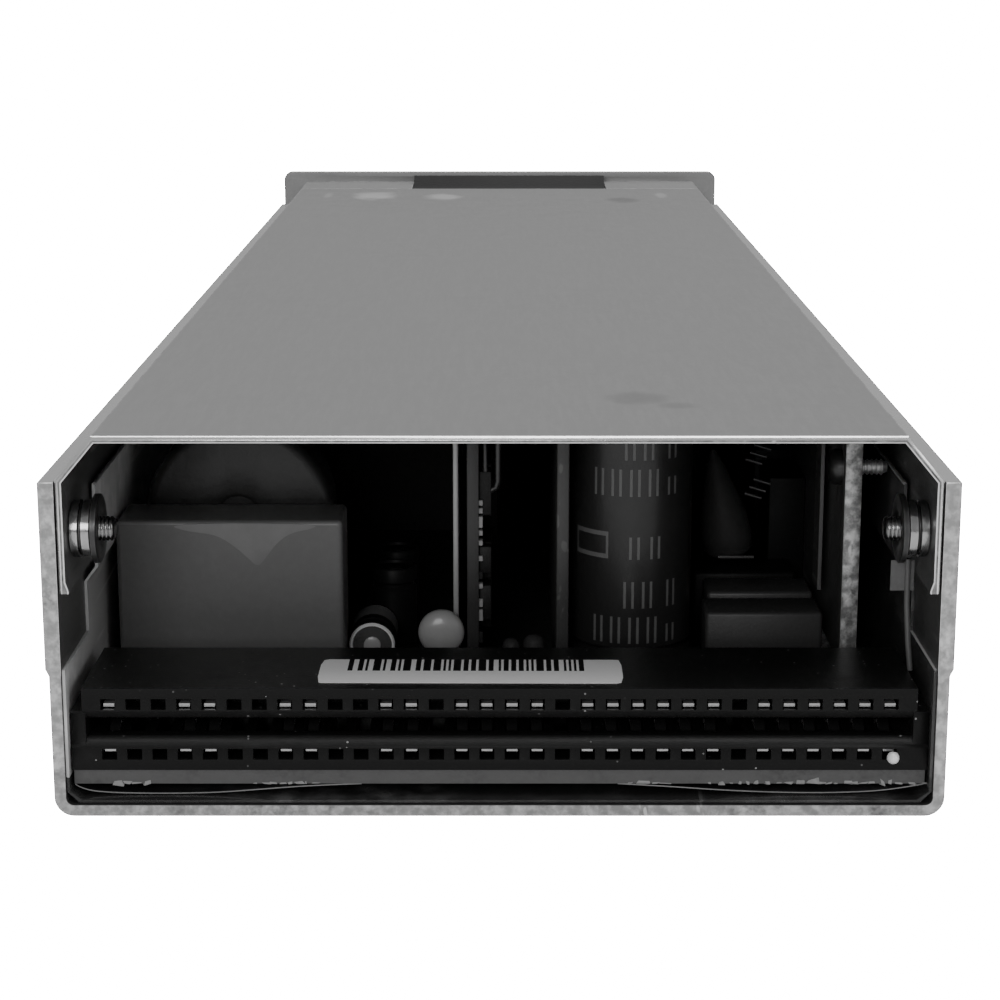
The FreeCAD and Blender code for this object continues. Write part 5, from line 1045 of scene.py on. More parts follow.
@dataclass
class SideFasteners:
    """The clinch nuts inside the cover and the screws that enter them."""

    nut_radius: float = 2.9 * MM
    washer_radius: float = 3.5 * MM
    bevel: float = 0.18 * MM
    shaded_waist: tuple[float, float] = (1.01 * MM, 1.19 * MM)
    washer_start: float = 2.15 * MM
    root_radius: float = 1.07 * MM
    crest_radius: float = 1.25 * MM
    thread_start: float = 2.55 * MM
    thread_pitch: float = 0.4 * MM
    thread_turns: int = 4
    stub_start: float = 2.4 * MM
    stub_ends: tuple[float, float] = (4.22 * MM, 4.3 * MM)
    head_profile: Pairs = ((1.2, 1.15), (2.35, 0.12), (2.35, 0.02))
    recess_profile: Pairs = ((0.8, -0.2), (0.8, 0.8))

    def nut(self, name: str, foot: Vector, axis: Vector) -> Piece:
        """One nut: two bevelled rings with a waist between, and its washer.

        Args:
            name: The piece's name.
            foot: The middle of the end that touches the cover.
            axis: Unit direction into the case.

        Returns:
            The piece.
        """
        r, w, b = self.nut_radius, self.washer_radius, self.bevel
        waist = r - 0.35 * MM
        rings = [(r - b, 0.0), (r, b), (r, 0.9 * MM), (r - b, 1.02 * MM), (waist, 1.02 * MM),
                 (waist, 1.18 * MM), (r - b, 1.18 * MM), (r, 1.3 * MM), (r, 2.05 * MM), (r - b, 2.2 * MM),
                 (w - b, 2.2 * MM), (w, 2.3 * MM), (w, 2.8 * MM), (w - b, 2.9 * MM),
                 *metres([(1.9, 2.9), (1.6, 2.75)])]
        piece = turned(name, foot, axis, rings)
        smooth(piece, angle=28)
        return piece

    def stub(self, name: str, foot: Vector, axis: Vector) -> Piece:
        """The threaded end that stands out of a nut.

        Args:
            name: The piece's name.
            foot: The middle of the nut's end that touches the cover.
            axis: Unit direction into the case.

        Returns:
            The piece.
        """
        rings = [(self.root_radius, self.stub_start)]
        for turn in range(self.thread_turns):
            start = self.thread_start + turn * self.thread_pitch
            rings += [(self.root_radius, start), (self.crest_radius, start + self.thread_pitch * 0.35),
                      (self.crest_radius, start + self.thread_pitch * 0.55)]
        last, tip = self.stub_ends
        rings += [(self.root_radius, last), (self.root_radius * 0.55, tip)]
        piece = turned(name, foot, axis, rings, steps=32)
        smooth(piece, angle=50)
        return piece

    def head(self, name: str, face: Vector, axis: Vector) -> Piece:
        """A countersunk head with a six sided recess, seen from outside the case.

        Args:
            name: The piece's name.
            face: The middle of its place on the tray's outer face.
            axis: Unit direction into the case.

        Returns:
            The piece.
        """
        piece = turned(name, face, axis, metres(self.head_profile), steps=36)
        recess = turned(name + "_recess", face, axis, metres(self.recess_profile), steps=6)
        apply_modifier(piece, "BOOLEAN", object=recess, operation="DIFFERENCE", solver="EXACT")
        bpy.data.objects.remove(recess)
        smooth(piece, angle=40)
        return piece

    def build(self) -> None:
        """Model a fastener at each place that the CAD gives, in the nuts' and screws' stead."""
        low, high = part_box("clinch_nuts")
        height = (low.z + high.z) / 2
        nuts, stubs, heads = [], [], []
        for number, depth in enumerate((low.y + self.washer_radius, high.y - self.washer_radius)):
            for side, word in ((1, "right"), (-1, "left")):
                tag = "%d%s" % (number, word)
                inner = Vector((high.x * side, depth, height))
                outer = Vector((TRAY_HIGH.x * side, depth, height))
                nuts.append(self.nut("nut_" + tag, inner, ACROSS * -side))
                stubs.append(self.stub("stub_" + tag, inner, ACROSS * -side))
                heads.append(self.head("head_" + tag, outer, ACROSS * -side))
        rings = join(nuts, "clinch_nut_rings")
        paint(rings, Look.NUT)

        def is_shaded(face: Face) -> bool:
            """Whether a face is in the waist or belongs to the washer, both painted dark as shade."""
            reach = high.x - abs(face.center.x)
            return self.shaded_waist[0] < reach < self.shaded_waist[1] or reach > self.washer_start

        # Painted shade: the waist and the washer are dark steel.
        paint_faces(rings, Look.OXIDE, is_shaded)
        dress(rings, Look.NUT, node="clinch_nuts")
        screws = join(stubs + heads, "cover_screw_bodies")
        dress(screws, Look.STEEL, node="cover_screws")
        paint_faces(screws, Look.THREAD, lambda face: abs(face.center.x) < high.x)


@dataclass
class CardEdgeSocket:
    """The card edge socket, its contacts and the plain sticker on its top."""

    slot_height: float = 8.8
    contact_bow: float = 2.0 * MM
    sticker_across: tuple[float, float] = (-18.5, 12.6)
    sticker_along: tuple[float, float] = (3.0, 10.6)
    sticker_corner: float = 0.75 * MM
    sticker_thickness: float = 0.08 * MM
    sticker_turn: float = -0.4
    bar_columns: int = 120
    bar_margins: tuple[int, int] = (11, 14)
    bar_seed: int = 11
    dab_place: tuple[float, float] = (39.7 * MM, 5.9 * MM)
    dab_profile: Pairs = ((0.54, 0.0), (0.64, 0.3), (0.6, 0.6), (0.44, 0.85), (0.22, 1.0), (0.05, 1.04))

    def build(self) -> None:
        """Dress the moulding and contacts, then add the sticker and a solder dab."""
        housing = skin("connector_housing", Look.SOCKET, 0.05 * MM, 1)
        # Painted shade: the front faces are darker than the rest of the moulding.
        paint_faces(housing, Look.SOCKET_FACE, lambda face: face.normal.y < -0.9)
        middle = self.slot_height * MM
        for row in ("upper_contacts", "lower_contacts"):
            strips = skin(row, Look.GOLD)
            # Painted shade: contacts near the slot's middle are dark.
            paint_faces(strips, Look.WORN_GOLD, lambda face: abs(face.center.z - middle) < self.contact_bow)
        low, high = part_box("connector_housing")
        self.sticker(high.z)
        across, height = self.dab_place
        dab = turned("pole_dab", Vector((across, low.y + 0.1 * MM, height)), -ALONG,
                     metres(self.dab_profile), steps=20)
        smooth(dab, angle=60)
        dress(dab, Look.SOLDER)

    def sticker(self, top: float) -> None:
        """A white sticker with round corners and plain bars along its far half.

        Args:
            top: Height of the moulding's top, which the sticker lies on.
        """
        low, high = (at(x, depth, 0) for x, depth in zip(self.sticker_across, self.sticker_along))
        centre, size = (low + high) / 2, high - low
        clear_selection()
        bpy.ops.mesh.primitive_grid_add(x_subdivisions=self.bar_columns, y_subdivisions=4, size=1.0,
                                        location=(centre.x, centre.y, top))
        piece = bpy.context.object
        piece.scale = (size.x, size.y, 1.0)
        piece.rotation_euler.z = math.radians(self.sticker_turn)
        settle(piece, "socket_sticker")
        reach = [size[k] / 2 - self.sticker_corner for k in range(2)]
        for spot in piece.data.vertices:
            past = [abs(spot.co[k] - centre[k]) - reach[k] for k in range(2)]
            if min(past) > 0:
                pull = min(1.0, self.sticker_corner / math.hypot(*past))
                for k in range(2):
                    side = math.copysign(1.0, spot.co[k] - centre[k])
                    spot.co[k] = centre[k] + side * (reach[k] + past[k] * pull)
        paint(piece, Look.STICKER)
        random.seed(self.bar_seed)
        inked = set()
        column, after = self.bar_margins
        while column < self.bar_columns - after:
            wide = random.choice((1, 1, 2, 2, 3))
            inked.update(range(column, column + wide))
            column += wide + random.choice((1, 1, 1, 2))
        width = size.x / self.bar_columns
        paint_faces(piece, Look.INK, lambda face: face.center.y > centre.y
                    and int((face.center.x - low.x) / width) in inked)
        apply_modifier(piece, "SOLIDIFY", thickness=self.sticker_thickness, offset=1.0)
        dress(piece, Look.STICKER)


@dataclass
class InsulatingFilm:
    """The insulating film: sides with the right one painted dark as shade, cut edges painted bright as
    highlights, and a floor painted dark as shade that sags at the front.
    """

    lip_depth: float = 5.0 * MM
    lip_front: float = 1.9 * MM
    lip_thickness: float = 0.12 * MM
    highlight_bead_radius: float = 0.16 * MM
    fold_radius: float = 0.3 * MM
    right_side: float = 30.0 * MM
    floor_height: float = 4.0 * MM
    rim_width: float = 0.5 * MM
    rim_start: tuple[float, float] = (35.0 * MM, 10.0 * MM)
    left_lip: Pairs = ((-43.1, 2.75), (-42.6, 2.3), (-40.5, 1.85), (-35.0, 1.72), (-29.0, 1.8),
                       (-24.0, 2.2), (-19.0, 2.6), (-14.0, 2.78))
    right_lip: Pairs = ((12.0, 2.78), (17.0, 2.5), (23.0, 2.05), (30.0, 1.78), (36.0, 1.85),
                        (40.0, 2.15), (43.1, 2.75))
    tab: tuple[Vector, Vector] = (at(40.0, 8.0, 21.4), at(42.4, 8.12, 24.6))
    fold: tuple[Vector, ...] = (at(41.7, 7.9, 24.8), at(41.75, 7.9, 20.0), at(42.0, 7.8, 16.0),
                                at(42.3, 7.6, 13.0))

    def build(self) -> None:
        """Stand a copy in for the film, paint its shade and highlights, and add its highlight beads, its
        sagging lips and its folded tab.
        """
        film = skin("insulating_film", Look.CLEAR_FILM)
        with editing(film):
            bpy.ops.mesh.bisect(plane_co=(0, 0, self.floor_height), plane_no=UP)

        def is_rim(face: Face) -> bool:
            """Whether a face is a cut edge of the film's sides.

            Args:
                face: The face.

            Returns:
                True where it is narrow and stands far enough out and up.
            """
            corners = [film.data.vertices[number].co for number in face.vertices]
            sides = [(corners[k] - corners[k - 1]).length for k in range(len(corners))]
            across, height = self.rim_start
            narrow = face.area / max(sides) < self.rim_width
            return narrow and abs(face.center.x) > across and face.center.z > height

        # Painted shade on the right side and on the floor.
        paint_faces(film, Look.SHADED_FILM, lambda face: face.center.x > self.right_side)
        paint_faces(film, Look.FLOOR_FILM, lambda face: face.center.z < self.floor_height)
        # Painted highlight on the narrow cut edges.
        paint_faces(film, Look.FILM_EDGE, is_rim)
        for side in (-1, 1):
            self.bead(film, side)
        self.lip("film_lip_left", self.left_lip)
        self.lip("film_lip_right", self.right_lip)
        dress(block("film_tab", *self.tab), Look.FILM_TAB)
        dress(wire("film_fold", self.fold, self.fold_radius), Look.FILM_TAB)

    def bead(self, film: Piece, side: int) -> None:
        """A bead painted bright along the upper edge of one of the film's sides, as a highlight.

        Args:
            film: The film's copy.
            side: 1 for the right side and -1 for the left one.
        """
        corners = [spot.co for spot in film.data.vertices if spot.co.x * side > 0]
        top = max(corner.z for corner in corners)
        edge = [corner for corner in corners if corner.z > top - 0.05 * MM]
        x = min((corner.x for corner in edge), key=abs)
        ends = (min(corner.y for corner in edge), max(corner.y for corner in edge))
        bead = wire("film_highlight_bead_%d" % side, [Vector((x, y, top)) for y in ends], self.highlight_bead_radius)
        dress(bead, Look.FILM_EDGE)

    def lip(self, name: str, line: Pairs) -> None:
        """A narrow curved strip along the front edge.

        Args:
            name: The strip's name.
            line: Points across and up that the strip passes.
        """
        piece = upright(name, line, RIM + self.lip_front + self.lip_depth / 2, self.lip_depth, closed=False)
        apply_modifier(piece, "SOLIDIFY", thickness=self.lip_thickness, offset=0.0)
        smooth(piece, angle=40)
        # Painted shade on the lip strip.
        paint(piece, Look.FLOOR_FILM)
        front = RIM + self.lip_front + 0.2 * self.lip_thickness
        # Painted highlight along the strip's front edge.
        paint_faces(piece, Look.FILM_EDGE, lambda face: face.center.y < front)
        dress(piece, Look.FLOOR_FILM)


@dataclass
class Chokes:
    """The potted choke on the left and the toroid in its cradle behind it."""

    smear_thickness: float = 0.12 * MM
    smear_line: Pairs = ((-36.5, 24.3), (-34.0, 23.5), (-31.0, 23.2), (-29.0, 21.9), (-27.4, 20.4),
                         (-26.5, 19.5), (-25.6, 20.5), (-24.4, 22.2), (-22.8, 23.4), (-20.6, 23.8),
                         (-19.6, 24.3), (-28.0, 24.5))
    fill_radius: float = 2.9 * MM
    fill_inset: float = 0.08 * MM
    fill_bevel: float = 0.2 * MM

    def build(self) -> None:
        """Dress the chokes, then add the set glue and the varnish."""
        potted = skin("potted_choke", Look.POTTING)
        # Painted highlight: the sloped faces along the front top edge take the glue's lighter tone.
        paint_faces(potted, Look.GLUE, lambda face: 0.25 < face.normal.z < 0.8 and face.normal.y < -0.3)
        skins(("toroid_choke", Look.TOROID, 1.2 * MM, 4), ("toroid_cradle", Look.LATCH, 0.3 * MM))
        self.smear()
        self.varnish()

    def smear(self) -> None:
        """Set glue that has run down the potted choke's front in a shallow V."""
        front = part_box("potted_choke")[0].y
        piece = upright("glue_smear", self.smear_line, front, self.smear_thickness, closed=True)
        smooth(piece, angle=30)
        dress(piece, Look.GLUE)

    def varnish(self) -> None:
        """Varnish that fills the toroid's eye."""
        low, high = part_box("toroid_choke")
        foot = Vector(((low.x + high.x) / 2, low.y + self.fill_inset, (low.z + high.z) / 2))
        deep = high.y - low.y - self.fill_inset * 2
        narrow, bevel = self.fill_radius * 0.8, self.fill_bevel
        rings = [(narrow, 0.0), (self.fill_radius, bevel), (self.fill_radius, deep - bevel), (narrow, deep)]
        fill = turned("choke_eye_fill", foot, ALONG, rings, steps=32)
        smooth(fill, angle=40)
        dress(fill, Look.EYE_FILL)


@dataclass
class Uprights:
    """The sheets, the bar and the control board that stand along the supply."""

    clip_radius: float = 0.36 * MM
    clip_route: Pairs = ((-0.2, 33.2), (0.7, 33.2), (0.7, 28.4), (0.9, 27.7), (1.4, 27.3), (1.9, 27.6),
                         (2.1, 28.3), (2.1, 33.0))
    clip_depth: float = 1.2
    chip_heights: tuple[float, float] = (10.0, 26.0)
    chip_size: tuple[float, float] = (0.5 * MM, 0.9 * MM)
    screw_head: Pairs = ((0.9, 0.0), (1.6, 0.25), (1.98, 0.8), (1.98, 1.5), (0.72, 1.5))
    screw_shade: float = 1.55 * MM
    thread_start: float = 1.6 * MM
    thread_pitch: float = 0.5 * MM
    thread_radii: tuple[float, float] = (0.72 * MM, 0.9 * MM)
    pad: tuple[Vector, Vector] = (at(35.75, 30.0, 15.2), at(36.15, 34.0, 36.9))

    def build(self) -> None:
        """Dress the sheets and the board, then add their small parts."""
        skins(("left_heatsink", Look.STRIP, 0.1 * MM), ("middle_heatsink", Look.ALUMINIUM, 0.15 * MM),
              ("control_board", Look.BOARD, 0.05 * MM), ("control_board_chips", Look.PACKAGE, 0.12 * MM),
              ("power_transistors", Look.SHADED, 0.15 * MM))
        bar = skin("right_heatsink", Look.BUS_BAR, 0.2 * MM)
        paint_faces(bar, Look.ALUMINIUM, lambda face: face.normal.y > -0.3)
        # Painted highlight on the bar's rounded front corners.
        paint_faces(bar, Look.BRIGHT_LINE, lambda face: -0.95 < face.normal.y < -0.3)
        # The pad is painted in the shaded inner zinc.
        dress(block("sink_pad", *self.pad), Look.INNER_ZINC)
        self.chip_parts()
        self.wire_clip()
        self.bar_screw()

    def chip_parts(self) -> None:
        """Small chip parts down the control board's front edge, some painted pale as glints."""
        low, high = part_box("control_board")
        random.seed(5)
        chips = []
        height, top = self.chip_heights
        while height < top:
            tall = random.choice((0.6, 0.9, 1.3))
            depth = low.y + random.uniform(0.1, 0.5) * MM
            corner = Vector((high.x - 0.05 * MM, depth, height * MM))
            size = Vector((*self.chip_size, tall * MM))
            chips.append(block("chip_part_%d" % len(chips), corner, corner + size))
            # Some chips take the film edge's highlight tone as painted glints.
            paint(chips[-1], random.choice((Look.FILM_EDGE, Look.PACKAGE, Look.TAPE)))
            height += tall + random.choice((0.3, 0.5, 1.2))
        joined = join(chips, "chip_parts")
        soften(joined, 0.06 * MM, 1)
        dress(joined, Look.PACKAGE)

    def wire_clip(self) -> None:
        """A bent wire loop that stands off the control board below the cover."""
        low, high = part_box("control_board")
        depth = (low.y - RIM) / MM + self.clip_depth
        points = [at(high.x / MM + x, depth, height) for x, height in self.clip_route]
        # The clip is painted dark steel as shade.
        dress(wire("control_wire_clip", points, self.clip_radius), Look.OXIDE)

    def bar_screw(self) -> None:
        """The bar's screw: a domed head on one side and its thread on the other."""
        low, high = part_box("heatsink_screw")
        foot = Vector((low.x, (low.y + high.y) / 2, (low.z + high.z) / 2))
        length = high.x - low.x
        root, crest = self.thread_radii
        rings = metres(self.screw_head)
        along = self.thread_start
        while along < length - self.thread_pitch:
            rings += [(root, along), (crest, along + self.thread_pitch * 0.3),
                      (crest, along + self.thread_pitch * 0.5), (root, along + self.thread_pitch * 0.8)]
            along += self.thread_pitch
        piece = turned("bar_screw", foot, ACROSS, rings + [(root * 0.8, length)], steps=24)
        smooth(piece, angle=45)
        paint(piece, Look.STEEL)
        # Painted shade: the screw's head is dark steel.
        paint_faces(piece, Look.OXIDE, lambda face: face.center.x < low.x + self.screw_shade)
        dress(piece, Look.STEEL, node="heatsink_screw")


@dataclass
class SmallCans:
    """Small cans with a rolled rim painted bright as a highlight round a recessed end, one lying and two
    upright.
    """

    radius: float = 2.6 * MM
    lip: float = 0.42 * MM
    well_depth: float = 0.35 * MM
    boss_radius: float = 0.95 * MM
    rim_depth: float = 0.3 * MM
    groove_depth: float = 0.3 * MM
    groove_end: float = 3.8 * MM
    lying_length: float = 7.4 * MM
    lying_height: float = 4.6 * MM
    upright_length: float = 11.1 * MM
    upright_pitch: float = 8.2 * MM

    def rings(self, length: float) -> Rings:
        """A can's profile from its recessed end: boss, well, rolled rim, groove and side.

        Args:
            length: How long the can is.

        Returns:
            The profile's rings.
        """
        r, lip, boss, waist = self.radius, self.lip, self.boss_radius, self.radius - self.groove_depth
        return [(boss * 0.9, 0.1 * MM), (boss, 0.16 * MM), (boss, self.well_depth),
                (r - lip, self.well_depth), (r - lip * 0.8, 0.05 * MM), (r - lip * 0.4, 0.0),
                (r, 0.25 * MM), (r, 1.6 * MM), (waist, 1.9 * MM), (waist, 2.2 * MM), (r, 2.5 * MM),
                (r, self.groove_end), (r, length)]

    def build(self) -> None:
        """Model the cans in the stead of their CAD node."""
        low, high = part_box("small_capacitors")
        r = self.radius
        near = Vector((low.x + r, low.y, BOARD_TOP + self.lying_height))
        standing = self.rings(self.upright_length)
        cans = [turned("small_can_lying", near, ALONG, self.rings(self.lying_length), steps=40)]
        for number, gap in enumerate((self.upright_pitch, 0.0)):
            spot = Vector((high.x - r, high.y - r - gap, high.z))
            cans.append(turned("small_can_%d" % number, spot, -UP, standing, steps=40))
        for can in cans:
            smooth(can, angle=40)
            paint(can, Look.SHADED)

        def place(face: Face) -> tuple[float, float]:
            """How far a face of the lying can is from its axis and from its near end."""
            return math.hypot(face.center.x - near.x, face.center.z - near.z), face.center.y - low.y

        def is_rim(face: Face) -> bool:
            """Whether a face is part of the rolled rim."""
            reach, depth = place(face)
            return depth < self.rim_depth * 0.7 and reach > r - self.lip * 1.1

        def is_boss(face: Face) -> bool:
            """Whether a face is part of the boss in the middle."""
            reach, depth = place(face)
            return depth < self.rim_depth and reach < self.boss_radius

        def is_well(face: Face) -> bool:
            """Whether a face is the floor between boss and rim."""
            reach, depth = place(face)
            return depth > self.rim_depth and self.boss_radius < reach < r - self.lip

        paint_faces(cans[0], Look.CAN_BODY, lambda face: place(face)[1] > self.groove_end)
        paint_faces(cans[0], Look.CAN_WELL, is_well)
        # Painted highlight on the rolled rim.
        paint_faces(cans[0], Look.CAN_RIM, is_rim)
        # Painted reflection: the boss takes the bead's lighter tone.
        paint_faces(cans[0], Look.DIPPED, is_boss)
        dress(join(cans, "small_can_set"), Look.SLEEVE, node="small_capacitors")


@dataclass
class OutputCans:
    """The row of large cans: a rolled groove, a printed sleeve and a bright top."""

    count: int = 4
    steps: int = 144
    rows: int = 48
    foot_profile: Pairs = ((0.5, 0.0), (0.5, 1.2), (0.15, 1.3), (0.0, 1.7), (0.0, 3.6), (0.5, 4.1),
                           (0.5, 4.5), (0.0, 5.0))
    top_profile: Pairs = ((0.12, 0.5), (0.9, 0.3), (1.3, 0.5))
    sleeve_start: float = 5.0 * MM
    sleeve_end: float = 1.0 * MM
    top_inset: float = 0.8 * MM
    stroke: float = 2.5
    mark_rows: tuple[int, int] = (20, 25)
    mark_angles: tuple[float, float] = (-65.0, -25.0)
    print_lines: tuple[tuple[int, int, tuple[float, ...]], ...] = (
        (1, 7, (-40.0, -22.5, -5.0, 12.5)), (1, 5, (32.5,)), (9, 15, (-10.0, 7.5, 32.5)),
        (20, 25, (-5.0, 15.0)), (34, 40, (-40.0, -22.5, -5.0, 12.5)), (34, 38, (32.5,)),
        (42, 48, (-10.0, 7.5, 32.5)))

    def is_printed(self, row: int, angle: float) -> bool:
        """Whether a sleeve is printed at a place: plain paired strokes and one minus mark.

        Args:
            row: Which row of faces, counted from the groove upwards.
            angle: How far round from the front in degrees.

        Returns:
            True where the print is.
        """
        (first, last), (left, right), wide = self.mark_rows, self.mark_angles, self.stroke
        if first <= row <= last and left < angle < right:
            return row in (first, last) or not left + wide < angle < right - wide
        return any(low <= row < high and (0 < angle - start < wide or wide * 3 < angle - start < wide * 4)
                   for low, high, starts in self.print_lines for start in starts)

    def build(self) -> None:
        """Model one can and copy it along the row."""
        low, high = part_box("output_capacitors")
        r, height = (high.x - low.x) / 2, high.z - low.z
        foot = Vector(((low.x + high.x) / 2, low.y + r, low.z))
        sleeve = height - self.sleeve_start - self.sleeve_end
        rings = [(r - inset, up) for inset, up in metres(self.foot_profile)]
        rings += [(r, self.sleeve_start + sleeve * row / self.rows) for row in range(1, self.rows + 1)]
        rings += [(r - inset, height - down) for inset, down in metres(self.top_profile)]
        rings.append((0.8 * MM, height - 0.5 * MM))
        first = turned("can_0", foot, UP, rings, self.steps)
        smooth(first, angle=40)
        paint(first, Look.SLEEVE)

        def is_top(face: Face) -> bool:
            """Whether a face belongs to the bright top."""
            reach = math.hypot(face.center.x - foot.x, face.center.y - foot.y)
            return face.center.z > high.z - self.sleeve_end and reach < r - self.top_inset

        def is_mark(face: Face) -> bool:
            """Whether a face carries print.

            Args:
                face: The face.

            Returns:
                True where it does.
            """
            angle = math.degrees(math.atan2(face.center.x - foot.x, foot.y - face.center.y))
            row = int((face.center.z - low.z - self.sleeve_start) / (sleeve / self.rows))
            return abs(face.normal.z) <= 0.3 and 0 <= row < self.rows and self.is_printed(row, angle)

        paint_faces(first, Look.CAN_TOP, is_top)
        paint_faces(first, Look.SLEEVE_MARK, is_mark)
        pitch = (high.y - low.y - r * 2) / (self.count - 1)
        others = [copy_of(first, "can_%d" % number, ALONG * pitch * number)
                  for number in range(1, self.count)]
        dress(join([first, *others], "output_can_set"), Look.SLEEVE, node="output_capacitors")


@dataclass
class LooseParts:
    """The dipped bead, the film boxes and what stands between the boards and the cans."""

    third_box: float = 16.0 * MM
    bead_power: float = 2.4
    lead_radius: float = 0.3 * MM
    domes: Sequence[tuple[float, float, float]] = ((1.3, 1.0, 5.0), (3.9, 1.2, 5.4))
    dome_depth: float = 30.0
    coil_heights: tuple[float, ...] = (23.5, 24.3, 25.2, 27.6, 28.4, 29.3)
    coil_place: tuple[float, float] = (28.7, 42.0)
    coil_step: float = 0.5
    turn_span: tuple[float, float, float] = (1.9 * MM, -0.4 * MM, -0.5 * MM)
    turn_radius: float = 0.2 * MM
    coil_lead: tuple[Vector, Vector] = (at(24.4, 29.0, 19.3), at(28.4, 29.0, 19.3))
    coil_lead_radius: float = 0.22 * MM
    sleeve_ends: tuple[Vector, Vector] = (at(25.6, 50.0, 27.0), at(28.0, 50.0, 13.6))
    sleeve_profile: Pairs = ((0.25, 0.0), (1.1, 2.0), (2.0, 5.0), (2.8, 8.0), (3.1, 10.5), (2.9, 12.5),
                             (1.8, 13.4))

    def build(self) -> None:
        """Model each of them."""
        boxes = skin("film_capacitors", Look.FILM_BOX, 0.4 * MM)
        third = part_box("film_capacitors")[0].y + self.third_box
        paint_faces(boxes, Look.SHADED, lambda face: face.center.y > third)
        self.bead()
        self.small_domes()
        self.coil()
        tip, end = self.sleeve_ends
        sleeve = turned("lead_sleeve", tip, (end - tip).normalized(), metres(self.sleeve_profile), steps=32)
        smooth(sleeve, angle=60)
        dress(sleeve, Look.DARK_SLEEVE)

    def bead(self) -> None:
        """The dipped capacitor: a lens shaped bead on two straight leads."""
        low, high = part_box("dipped_capacitor")
        radius, half = (high.x - low.x) / 2, (high.y - low.y) / 2
        front = Vector(((low.x + high.x) / 2, low.y, high.z - radius))
        power = self.bead_power
        rings = []
        for step in range(-6, 7):
            along = math.sin(math.radians(step * 14))
            rings.append((radius * (1 - abs(along) ** power) ** (1 / power), half * (along + 1)))
        pieces = [turned("bead_body", front, ALONG, rings)]
        for side in (-1, 1):
            top = front + Vector((side * radius / 2, half, 0))
            ends = [Vector((top.x, top.y, low.z)), top]
            pieces.append(wire("bead_lead_%d" % side, ends, self.lead_radius))
        joined = join(pieces, "dipped_bead")
        smooth(joined, angle=60)
        dress(joined, Look.DIPPED, node="dipped_capacitor")

    def small_domes(self) -> None:
        """Two small domed parts between the boards."""
        pieces = []
        for number, (x, radius, tall) in enumerate(self.domes):
            foot = at(x, self.dome_depth, 0)
            foot.z = BOARD_TOP
            rings = metres([(radius, 0.0), (radius, tall - 0.8), (radius * 0.8, tall - 0.25),
                            (radius * 0.35, tall)])
            pieces.append(turned("dome_%d" % number, foot, UP, rings, steps=24))
        joined = join(pieces, "small_domes")
        smooth(joined, angle=50)
        dress(joined, Look.DARK_SLEEVE)

    def coil(self) -> None:
        """Short slanted wires and a lead beside the large cans, as of a wound coil."""
        turns = []
        x, depth = self.coil_place
        for number, height in enumerate(self.coil_heights):
            start = at(x + self.coil_step * (number % 3), depth, height)
            line = [start, start + Vector(self.turn_span)]
            turns.append(wire("coil_turn_%d" % number, line, self.turn_radius))
        turns.append(wire("coil_lead", self.coil_lead, self.coil_lead_radius))
        dress(join(turns, "coil_turns"), Look.COIL)


@dataclass
class MainBoard:
    """The main board, its screws and the larger parts towards the faceplate."""

    flake_spans: Sequence[tuple[float, float, float]] = (
        (-39.0, -36.0, 0.5), (-25.0, -19.0, 0.3), (13.0, 17.5, 0.6), (21.0, 30.0, 0.45),
        (30.0, 43.0, 0.75))
    flake_depth: float = 0.3 * MM
    flake_stand: float = 0.04 * MM

    def build(self) -> None:
        """Dress the board and the parts that only show from above or behind."""
        board = skin("main_board", Look.BOARD)
        paint_faces(board, Look.BOARD_EDGE, lambda face: abs(face.normal.z) < 0.5)
        self.chipped_edge()
        skins(("board_seats", Look.STEEL), ("board_screws", Look.STEEL, 0.15 * MM),
              ("transformer_core", Look.FERRITE, 0.4 * MM), ("transformer_winding", Look.TAPE),
              ("bulk_capacitor", Look.SLEEVE, 0.8 * MM, 3), ("boost_choke", Look.TOROID, 1.2 * MM, 4),
              ("bridge_rectifier", Look.PACKAGE, 0.3 * MM), ("filter_choke", Look.FERRITE, 0.4 * MM),
              ("mains_fuse", Look.CERAMIC, 0.2 * MM), ("fuse_clips", Look.STEEL, 0.1 * MM))

    def chipped_edge(self) -> None:
        """Pale broken fibres along the lower corner of the board's front edge."""
        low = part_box("main_board")[0]
        random.seed(23)
        flakes = []
        for x, end, tallest in self.flake_spans:
            while x < end:
                wide = random.uniform(0.2, 1.0)
                tall = random.uniform(0.1, tallest)
                drop = random.uniform(0.1, 0.5) * tall
                corner = Vector((x * MM, low.y - self.flake_stand, low.z - drop * MM))
                size = Vector((wide * MM, self.flake_depth, tall * MM))
                flake = block("flake_%d" % len(flakes), corner, corner + size)
                for spot in flake.data.vertices:
                    spot.co.x += random.uniform(-0.35, 0.35) * wide * MM
                    spot.co.z += random.uniform(-0.3, 0.45) * tall * MM
                flakes.append(flake)
                x += wide + random.uniform(-0.1, 0.7)
        joined = join(flakes, "board_flakes")
        soften(joined, self.flake_stand, 1)
        dress(joined, Look.CHIPPED)


